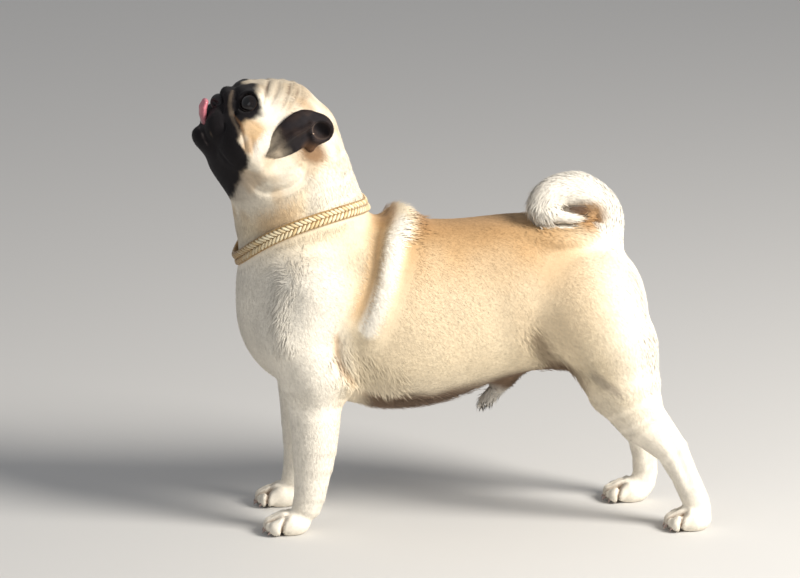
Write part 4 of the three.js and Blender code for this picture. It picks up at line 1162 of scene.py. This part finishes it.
def joined(meshes):
    """Several (points, triangles) as one."""
    starts = np.cumsum([0] + [len(points) for points, _ in meshes])
    points = np.concatenate([points for points, _ in meshes])
    return points, np.concatenate([triangles + start for (_, triangles), start in zip(meshes, starts)])


# Claws

CLAW = {"r": 1.5, "length": 3.8, "height": 4.4, "drop": 3.4, "back": 0.62, "curl": 1.1, "taper": 0.85}
CLAW_HORN = (0.50, 0.36, 0.31)


def make_claws():
    meshes = []
    t = np.linspace(0, 1, 9)
    bow = np.stack([-CLAW["length"] * np.sin(CLAW["curl"] * t), 0 * t, -CLAW["drop"] * t * t], -1)
    radii = CLAW["r"] * (1 - CLAW["taper"] * t**1.5)
    for leg in LEGS.values():
        x, out = leg["paw"]
        for ahead, across, r in TOES:
            root = np.array([x - ahead - CLAW["back"] * r, leg["side"] * out + across, CLAW["height"]])
            meshes.append(tube(root + bow, radii, (0, 1, 0), closed=False))
    points, triangles = joined(meshes)
    object_from("claws", points, triangles, glossy("claw_horn", 0.35, 0.2), "coat_black", CLAW_HORN)


# Collar: a band of cord, under two rows of slanting stitches that make one flat braid

BRAID = {"pitch": 4.3, "slant": 0.66, "row": 2.9, "lift": 1.9, "dive": 0.5}
STITCH = np.array([4.4, 1.75, 1.55])
# The cords of the band: their places in shares of its width, how far out they lie, and their radius
BAND_CORDS = {"at": (-0.43, -0.3, -0.1, 0.1, 0.3, 0.43), "out": 0.5, "radius": 1.5}
GOLD = np.array([0.66, 0.42, 0.13])
SILK = np.array([0.93, 0.83, 0.58])
UMBER = np.array([0.30, 0.16, 0.045])


def collar_rise(across):
    """How far the collar runs up from its plane, by the sine of the angle from the throat."""
    soft = COLLAR_TURN
    return COLLAR_RISE * (np.hypot(across, soft) - soft) / (math.hypot(1, soft) - soft)


def collar_ring(count):
    """Points round the neck where the collar lies, the way out from each, and the way along the neck."""
    up = unit(COLLAR["normal"])
    fore = unit(np.cross((0, 1, 0), up))
    angle = 2 * math.pi * np.arange(count) / count
    ray = np.cos(angle)[:, None] * fore + np.sin(angle)[:, None] * np.array([0, 1, 0])
    middle = COLLAR["at"] - collar_rise(np.sin(angle))[:, None] * up
    near, far = np.full(count, 20.0), np.full(count, 130.0)
    for _ in range(18):
        reach = (near + far) / 2
        inside = flesh(middle + ray * reach[:, None], True) < 0
        near, far = np.where(inside, reach, near), np.where(inside, far, reach)
    return middle + ray * near[:, None], ray, up


def make_collar():
    spots, ray, up = collar_ring(720)
    links = np.linalg.norm(np.roll(spots, -1, 0) - spots, axis=1)
    travelled = np.concatenate([[0], np.cumsum(links)])
    around = travelled[-1]

    def along(values, at):
        closed = np.concatenate([values, values[:1]])
        return np.stack([np.interp(at % around, travelled, closed[:, i]) for i in range(3)], 1)

    bumps = (1500, 2, 0.7, 0.0004, (1, 1, 6))
    silk = coloured("braided_cord", 0.45, (700, 0.75, 1.2), bumps, Sheen_Weight=0.3)
    rng = np.random.default_rng(5)
    stitch, faces = globe(1.0, 8, 10)
    # Each stitch dives under the next row at its inner end
    local = stitch * STITCH
    local[:, 2] += BRAID["dive"] * np.tanh(stitch[:, 0])
    # Each stitch darkens toward its rim: painted shade in the gaps where stitches meet
    edge = ramp(np.abs(stitch[:, 1]) + 0.6 * np.abs(stitch[:, 0]), 0.6, 1.3)
    count = round(around / BRAID["pitch"])
    meshes, colours = [], []
    for row in (-1, 1):
        at = (np.arange(count) + 0.25 * row) * around / count
        middle, out = along(spots, at), unit(along(ray, at))
        forward = unit(along(spots, at + 1) - along(spots, at - 1))
        way = unit(forward * math.cos(BRAID["slant"]) + row * up * math.sin(BRAID["slant"]))
        side = np.cross(out, way)
        centre = middle + out * BRAID["lift"] + row * up * BRAID["row"]
        for k in range(count):
            meshes.append((centre[k] + local @ np.array([way[k], side[k], out[k]]), faces))
            # Stitches toward the front are darker: painted shade
            front = ramp(-middle[k, 0], 175, 205)
            tint = mixed(mixed(GOLD, SILK, 0.3 + 0.7 * rng.uniform(0, 1)), UMBER, 0.7 * front)
            colours.append(tinted(np.tile(tint, (len(stitch), 1)), UMBER, 0.7 * edge))
    object_from("collar_braid", *joined(meshes), silk, "braid", np.concatenate(colours), "collar")
    at = np.linspace(0, around, 360, endpoint=False)
    middle, out = along(spots, at), unit(along(ray, at))
    cords = []
    for share in BAND_CORDS["at"]:
        path = middle + out * BAND_CORDS["out"] + up * COLLAR["width"] * share
        cords.append(tube(path, np.full(len(at), BAND_CORDS["radius"]), out, 6))
    points, triangles = joined(cords)
    # The band's cords are dark umber with gold, partly painted shade for the gaps between the stitches
    colours = tinted(np.tile(UMBER, (len(points), 1)), GOLD, 0.5 * noise(points, 3))
    object_from("collar_band", points, triangles, silk, "braid", colours)


# Coat: tufts on the skin, each a thin three-sided blade that lies along the body

WHORL = np.array([-158, -66, 246])
WHORL_SIZE = 30
# The neck's foot slopes forward and down: a point's height over it counts this share of x
NECK_SLOPE = 0.37


def along_skin(ways, normals):
    """Ways turned into the surface."""
    return unit(ways - (ways * normals).sum(1)[:, None] * normals)


def lie(p, normals):
    """The way that the coat lies at each point, along the surface."""
    x, y, z = p.T
    out = np.sign(y)
    # Back along the trunk, and down on its sides
    way = np.array([1.0, 0, -0.15]) + np.abs(normals[:, 1])[:, None] * np.array([0, 0, -0.55])
    down = np.stack([0.25 + 0 * x, 0.15 * out, -1 + 0 * x], 1)
    way = tinted(way, down, ramp(-x, 130, 175) * ramp(-z, -300, -200))
    neck = ramp(z + NECK_SLOPE * x, 205, 235) * ramp(-x, 60, 95)
    way = tinted(way, np.array([0.35, 0, -0.94]), neck)
    for name, leg in LEGS.items():
        rear = name.startswith("hind")
        own = on_side(p, leg["side"]) * ((x > 60) if rear else (x < -60))
        joints = np.array(leg["joints"])[:, :3] * [1, leg["side"], 1]
        top = 215 if rear else 190
        way = tinted(way, way_along(p, joints) + [0.25, 0, 0], own * ramp(-z, -top, -top + 70))
    way = tinted(way, np.array([-0.9, 0, -0.5]), 1 - ramp(z, 10, 32))
    way = tinted(way, way_along(p, TAIL[:, :3]), (1 - ramp(tail_field(p), 2, 8)) * (z > 250))
    # On the head it runs back from the nose
    head = ramp(above_head_cut(p), -25, 10)
    way = tinted(way, unit(p - from_head((62, 0, -8))), head)
    # On the chest's side the hair parts: forward and down before the crest, back and down behind it
    crest = (p - WHORL) * [1, 0, 1]
    near = np.exp(-((np.linalg.norm(crest, axis=1) / WHORL_SIZE) ** 2))
    way = tinted(way, 1.2 * unit(crest) + [0, 0, -0.6], near * (1 - head))
    before = ramp(-x, 158, 168) * (1 - ramp(z, 215, 260))
    way = tinted(way, np.stack([-0.2 + 0 * x, -0.5 * out, -1 + 0 * x], 1), 0.7 * before * (1 - head))
    return along_skin(way, normals)


# What the coat is like on trunk, neck, legs, paws, skull, face and tail
COAT_PLAN = {
    "density": (0.62, 0.60, 0.60, 0.9, 0.8, 1.1, 0.80),
    "length": (8, 9, 6.5, 3.2, 5.5, 2.8, 9),
    "width": (0.78, 0.82, 0.75, 0.68, 0.7, 0.60, 0.85),
    "lift": (0.06, 0.08, 0.07, 0.08, 0.08, 0.08, 0.10),
}


def coat_plan(p):
    """For each point: tufts to a square millimetre, and their length, width and lift."""
    x, _, z = p.T
    head = ramp(above_head_cut(p), -15, 15)
    face = ramp(to_head(p)[:, 0], 2, 28)
    leg = 1 - ramp(z, 95, 165)
    paw = 1 - ramp(z, 18, 45)
    neck = ramp(z + NECK_SLOPE * x, 200, 235) * ramp(-x, 60, 95)
    tail = on_tail(p, 6)
    values = []
    for on_trunk, on_neck, on_leg, on_paw, on_skull, on_face, tail_value in COAT_PLAN.values():
        value = mixed(on_trunk + 0 * x, on_neck, neck)
        value = mixed(value, on_leg, leg)
        value = mixed(value, on_paw, paw)
        value = mixed(value, mixed(on_skull, on_face, face), head)
        values.append(np.where(tail, tail_value, value))
    return values


# Where the coat stands out in longer locks: (x, z) along each place, its width, the way the locks hang,
# their length, lift and share
FRINGES = [
    ([(-152, 262), (-161, 240), (-165, 215), (-160, 192)], 8, (-0.5, 0, -0.8), 10, 0.25, 0.7),
    ([(-100, 172), (-84, 160), (-62, 148)], 11, (0.2, 0, -1), 13, 0.25, 0.9),
    ([(-70, 118), (0, 108), (20, 112)], 13, (0.5, 0, -0.5), 9, 0.3, 0.7),
    ([(24, 113), (36, 119)], 6, (-0.9, 0, -0.4), 12, 0.14, 1.3),
    ([(172, 246), (183, 225), (186, 195), (190, 165)], 9, (0.2, 0, -1), 9, 0.13, 0.7),
    ([(70, 196), (84, 168), (104, 148)], 9, (0.4, 0, -0.9), 9, 0.25, 0.5),
    ([(-56, 300), (-40, 288)], 8, (0.9, 0, 0.3), 10, 0.35, 1.1),
    ([(80, 304), (88, 318)], 10, (-0.2, 0, -0.8), 12, 0.2, 1.0),
    ([(98, 300), (124, 298)], 6, (1, 0, 0), 11, 0.12, 1.2),
]


def fringe_plan(p):
    """For each point, how strong the nearest fringe is, and the way, length and lift of its locks."""
    best = np.zeros(len(p))
    way, length, lift = np.zeros((len(p), 3)), np.full(len(p), 10.0), np.full(len(p), 0.25)
    for path, width, hang, long, stand, share in FRINGES:
        away, _ = nearest(p[:, [0, 2]], path)
        strength = share * np.exp(-((away / width) ** 2))
        more = strength > best
        best[more] = strength[more]
        way[more], length[more], lift[more] = hang, long, stand
    return np.where(above_head_cut(p) < 0, best, 0), way, length, lift


def scattered(points, triangles, density, rng):
    """Roots spread over a mesh, density giving how many to a square millimetre; their places and normals."""
    a, b, c = (points[triangles[:, i]] for i in range(3))
    area = np.linalg.norm(np.cross(b - a, c - a), axis=1) / 2
    count = np.floor(area * density((a + b + c) / 3) + rng.random(len(area))).astype(int)
    face = np.repeat(np.arange(len(area)), count)
    u, v = rng.random((2, len(face)))
    over = u + v > 1
    u[over], v[over] = 1 - u[over], 1 - v[over]
    shares = np.stack([1 - u - v, u, v], 1)
    corners = triangles[face]
    normals = vertex_normals(points, triangles)
    roots = (points[corners] * shares[:, :, None]).sum(1)
    return roots, unit((normals[corners] * shares[:, :, None]).sum(1))


# How far a tuft's root sinks into the skin, its three sides across and out, and how it bends half way
SINK = 0.5
BLADE = np.array([(-0.5, 0.0), (0.5, 0.0), (0.0, 0.24)])
BEND = {"at": 0.55, "rise": 0.72, "wide": 0.8}


def blades(roots, normals, ways, length, width, lift, rng, bent):
    """Closed three-sided blades: a ring at the root, one half way where bent, and a tip."""
    n = len(roots)
    turn = rng.normal(0, 0.15, n)
    side = np.cross(normals, ways)
    ways = unit(ways * np.cos(turn)[:, None] + side * np.sin(turn)[:, None])
    side = np.cross(normals, ways)
    length = (length * rng.uniform(0.65, 1.15, n))[:, None]
    width = width * rng.uniform(0.8, 1.2, n)
    rise = lift * rng.uniform(0.5, 1.5, n)
    across = side[:, None] * BLADE[:, :1] + normals[:, None] * BLADE[:, 1:]
    across = across * width[:, None, None]
    forward, up = ways * length, normals * rise[:, None] * length
    rows = [(roots - normals * SINK)[:, None] + across]
    if bent:
        middle = roots + BEND["at"] * forward + BEND["rise"] * up
        rows.append(middle[:, None] + BEND["wide"] * across)
    points = np.concatenate([*rows, (roots + forward + up)[:, None]], 1)
    faces = [(0, 2, 1)]
    ring = [(0, 1), (1, 2), (2, 0)]
    if bent:
        faces += [face for i, j in ring for face in ((i, j, 3 + j), (i, 3 + j, 3 + i))]
    last = 3 * (len(rows) - 1)
    faces += [(last + i, last + j, last + 3) for i, j in ring]
    corners = points.shape[1]
    triangles = (np.array(faces)[None] + np.arange(n)[:, None, None] * corners).reshape(-1, 3)
    return points.reshape(-1, 3), triangles, corners


# The size of a tuft's patch on the map, its shape by the tuft's corners, and the map's empty edge
PATCH = 0.0015
PATCH_RING = np.array([(-1, -1), (1, -1), (0, -0.6), (-0.7, 0.2), (0.7, 0.2), (0, 0.4), (0, 1)])
MAP_EDGE = 0.02


def patch_map(piece, roots, triangles, corners, middle, axis):
    """The map OFBake: each tuft a small patch at its root's place on the skin unrolled about an axis."""
    axis = unit(axis)
    first = unit(np.cross(axis, (0.31, 0.95, 0.05)))
    second = np.cross(axis, first)
    d = roots - np.asarray(middle)
    place = np.stack([d @ axis, np.arctan2(d @ second, d @ first)], 1)
    place = (place - place.min(0)) / (np.ptp(place, axis=0) + TINY)
    place = MAP_EDGE + (1 - 2 * MAP_EDGE) * place
    ring = PATCH_RING[[0, 1, 2, 6]] if corners == 4 else PATCH_RING
    uv = (place[:, None] + PATCH * ring).reshape(-1, 2)
    layer = piece.data.uv_layers.new(name="OFBake")
    layer.uv.foreach_set("vector", uv[triangles.ravel()].astype(np.float32).ravel())


SKIN_SHARE = 0.88


def soft_normals(piece, skin_normals, corners):
    """Shades the tufts mostly as the skin below them, as short soft fur is."""
    mesh = piece.data
    own = np.empty(len(mesh.vertices) * 3, np.float32)
    mesh.vertices.foreach_get("normal", own)
    base = np.repeat(skin_normals, corners, 0)
    mesh.normals_split_custom_set_from_vertices(unit(mixed(own.reshape(-1, 3), base, SKIN_SHARE)))


ROOT_DARK, TIP_LIGHT = 0.94, 1.06
LOWEST_HAIR = 0.25


def coat_piece(name, roots, normals, ways, plan, colours, slot, rng, bent, around):
    points, triangles, corners = blades(roots, normals, ways, *plan, rng, bent)
    points[:, 2] = np.maximum(points[:, 2], LOWEST_HAIR)
    tint = colours * rng.uniform(0.93, 1.07, (len(roots), 1))
    row = np.full(corners, 1.0)
    row[:3], row[-1] = ROOT_DARK, TIP_LIGHT
    shades = (tint[:, None] * row[:, None]).reshape(-1, 3)
    piece = object_from(name, points, triangles, coat_finish, slot, shades)
    patch_map(piece, roots, triangles, corners, *around)
    soft_normals(piece, normals, corners)


def coat_regions(p):
    """Names the piece of coat that each root belongs to."""
    x, y, z = p.T
    name = np.where(x < 0, "trunk_front", "trunk_rear").astype("U24")
    name[(z < 150) & (x < -95)] = "forelegs"
    name[(z < 150) & (x > 95)] = "hindlegs"
    name[(z + NECK_SLOPE * x > 218) & (x < -75)] = "neck"
    name[on_tail(p, 6)] = "tail"
    head = above_head_cut(p) > 0
    name[head] = "head"
    name[head & (to_head(p)[:, 0] > 14)] = "face"
    name[z < PAW_TOP] = "paws"
    sided = ~np.isin(name, ["tail", "face"])
    name[sided] = np.char.add(name[sided], np.where(y < 0, "_left", "_right")[sided])
    return name


# The middle and axis that each region is unrolled about
AROUND = {
    "trunk": ((0, 0, 205), (1, 0, 0)),
    "neck": ((-150, 0, 300), (-0.35, 0, 0.94)),
    "head": ((-175, 0, 370), (-0.84, 0, 0.54)),
    "face": ((-200, 0, 385), (-0.84, 0, 0.54)),
    "tail": ((115, -14, 296), (0, 1, 0)),
    "forelegs": ((-138, 0, 90), (0, 0, 1)),
    "hindlegs": ((180, 0, 80), (0, 0, 1)),
    "paws": ((0, 0, 10), (1, 0, 0)),
}
PALE_PARTS = ("forelegs", "hindlegs", "paws", "tail")
COLLAR_CLEAR, EYE_CLEAR, SOLE_CLEAR = 6.2, 1.5, 1.2


def bare(roots):
    """True under the collar, in the eyes' sockets and on the soles."""
    up = unit(COLLAR["normal"])
    d = roots - COLLAR["at"]
    out = unit(d - (d @ up)[:, None] * up)
    away = np.abs(d @ up + collar_rise(out[:, 1]))
    skip = (away < COLLAR_CLEAR) & (roots[:, 0] < -60) & (roots[:, 2] > 230)
    for _, side in SIDES:
        middle, axes = eye_axes(side)
        across, up, out = axes @ (roots - middle).T
        skip |= (np.hypot(across, up) < LIDS["wide"] + EYE_CLEAR) & (out > 2) & (out < 22)
    return skip | (roots[:, 2] < SOLE_CLEAR)


TUFT_SHARE = 1.0
FRINGE_DENSITY, FRINGE_WIDTH, EAR_DENSITY = 0.5, 0.9, 1.1


def skin_roots(density, rng):
    """Roots on the skin where it isn't bare, with their normals."""
    roots, normals = scattered(skin_points, skin_triangles, lambda p: TUFT_SHARE * density(p), rng)
    keep = ~bare(roots)
    return roots[keep], normals[keep]


def make_coat():
    rng = np.random.default_rng(11)
    roots, normals = skin_roots(lambda p: coat_plan(p)[0], rng)
    regions = coat_regions(roots)
    for region in np.unique(regions):
        here = regions == region
        at, out = roots[here], normals[here]
        kind = region.split("_")[0]
        slot = "coat_cream" if kind in PALE_PARTS else "coat_fawn"
        plan = coat_plan(at)[1:]
        bent = kind == "tail"
        coat_piece(f"coat_{region}", at, out, lie(at, out), plan, markings_and_painted_light(at), slot, rng, bent, AROUND[kind])
    # The longer locks of chest, elbows, belly, thighs and tail
    roots, normals = skin_roots(lambda p: FRINGE_DENSITY * fringe_plan(p)[0], rng)
    _, hang, length, lift = fringe_plan(roots)
    ways = along_skin(lie(roots, normals) + 1.2 * hang, normals)
    for name, side in SIDES:
        here = on_side(roots, side)
        at, out, way = roots[here], normals[here], ways[here]
        plan = (length[here], FRINGE_WIDTH, lift[here])
        tint = markings_and_painted_light(at)
        coat_piece(f"coat_fringe_{name}", at, out, way, plan, tint, "coat_cream", rng, True, AROUND["trunk"])


def make_ear_coat(ears):
    """Fine black hair on the ears' outsides, longer and grey at the flap's end."""
    rng = np.random.default_rng(23)
    for name, side, points, triangles in ears:
        flip = [1, side, 1]
        roots, normals = scattered(points, triangles, lambda p: EAR_DENSITY * TUFT_SHARE, rng)
        own = roots * flip
        keep = (cup_distance(own) > 1.12) & (own[:, 1] > 44)
        roots, normals, own = roots[keep], normals[keep], own[keep]
        end = ramp(0.5 * own[:, 0] - own[:, 2], 4, 20)
        lying = np.array(EAR_LIE) * flip
        ways = along_skin(lying, normals) @ HEAD_AXES
        plan = (3.2 + 4.5 * end, 0.65 + 0.15 * end, 0.10 + 0.05 * end)
        around = (from_head((-18, side * 40, 6)), unit(lying) @ HEAD_AXES)
        at, out, tint = from_head(roots), normals @ HEAD_AXES, ear_colours(own)
        coat_piece(f"coat_ear_{name}", at, out, ways, plan, tint, "coat_black", rng, False, around)


# The camera stands 5.5 m away, where the photograph's perspective puts it

VIEW = {"turn": math.radians(-2.6), "up": math.radians(13), "distance": 5500, "pixel": 0.953, "depth": -200}
SENSOR = 36
ORIGIN_PIXEL = (452, 518)
IMAGE = (800, 578)


def aimed(thing, place, way):
    """Puts a camera or light somewhere and turns it to look along a way."""
    thing.location = place
    thing.rotation_mode = "QUATERNION"
    thing.rotation_quaternion = Vector(way).to_track_quat("-Z", "Y")


def make_camera():
    c, s = math.cos(VIEW["turn"]), math.sin(VIEW["turn"])
    right = np.array([c, s, 0])
    ahead = np.array([-s, c, 0])
    high = np.array([0, 0, 1])
    up = ahead * math.sin(VIEW["up"]) + high * math.cos(VIEW["up"])
    into = ahead * math.cos(VIEW["up"]) - high * math.sin(VIEW["up"])
    aside = (IMAGE[0] / 2 - ORIGIN_PIXEL[0]) * VIEW["pixel"]
    above = (ORIGIN_PIXEL[1] - IMAGE[1] / 2) * VIEW["pixel"]
    middle_depth = VIEW["depth"] * math.sin(VIEW["up"])
    spot = right * aside + up * above + into * (middle_depth - VIEW["distance"])
    data = bpy.data.cameras.new("camera")
    data.sensor_width = SENSOR
    data.lens = SENSOR * VIEW["distance"] / (IMAGE[0] * VIEW["pixel"])
    data.clip_end = 50
    camera = in_scene("camera", data)
    aimed(camera, placed(spot), into)
    bpy.context.scene.camera = camera


# Soft studio light: the way to each lamp, its distance, size, power and colour
LAMPS = {
    "key": ((0.80, -0.56, 0.62), 3.0, 1.3, 150, (1.0, 0.96, 0.90)),
    "fill": ((-0.6, -0.9, 0.5), 3.5, 2.0, 7, (0.92, 0.96, 1.0)),
}
SKY = {"Color": (0.93, 0.95, 1.0, 1), "Strength": 0.34}
LIT_POINT = Vector((0, 0, 0.2))
FLOOR_REACH = 6.0


def make_floor():
    made, tree, shader = material("pale_floor", (0.64, 0.63, 0.61), 0.8)
    bump(tree, shader, noise_node(tree, 60, 2), 0.05, 0.001)
    mesh = bpy.data.meshes.new("floor")
    corners = [(FLOOR_REACH * x, FLOOR_REACH * y, 0) for x, y in ((-1, -1), (1, -1), (1, 1), (-1, 1))]
    mesh.from_pydata(corners, [], [(0, 1, 2, 3)])
    mesh.materials.append(made)
    in_scene("floor", mesh)


def make_light():
    world = bpy.data.worlds.new("studio")
    world.use_nodes = True
    for socket, value in SKY.items():
        world.node_tree.nodes["Background"].inputs[socket].default_value = value
    bpy.context.scene.world = world
    bpy.context.scene.view_settings.view_transform = "Standard"
    for name, (toward, distance, size, power, colour) in LAMPS.items():
        data = bpy.data.lights.new(name, "AREA")
        data.shape = "DISK"
        data.size = size
        data.energy = power
        data.color = colour
        way = Vector(toward).normalized()
        aimed(in_scene(name, data), LIT_POINT + way * distance, -way)


make_nose()
make_tongue()
ears = make_ears()
make_eyes()
make_claws()
make_collar()
make_coat()
make_ear_coat(ears)
make_camera()
make_floor()
make_light()
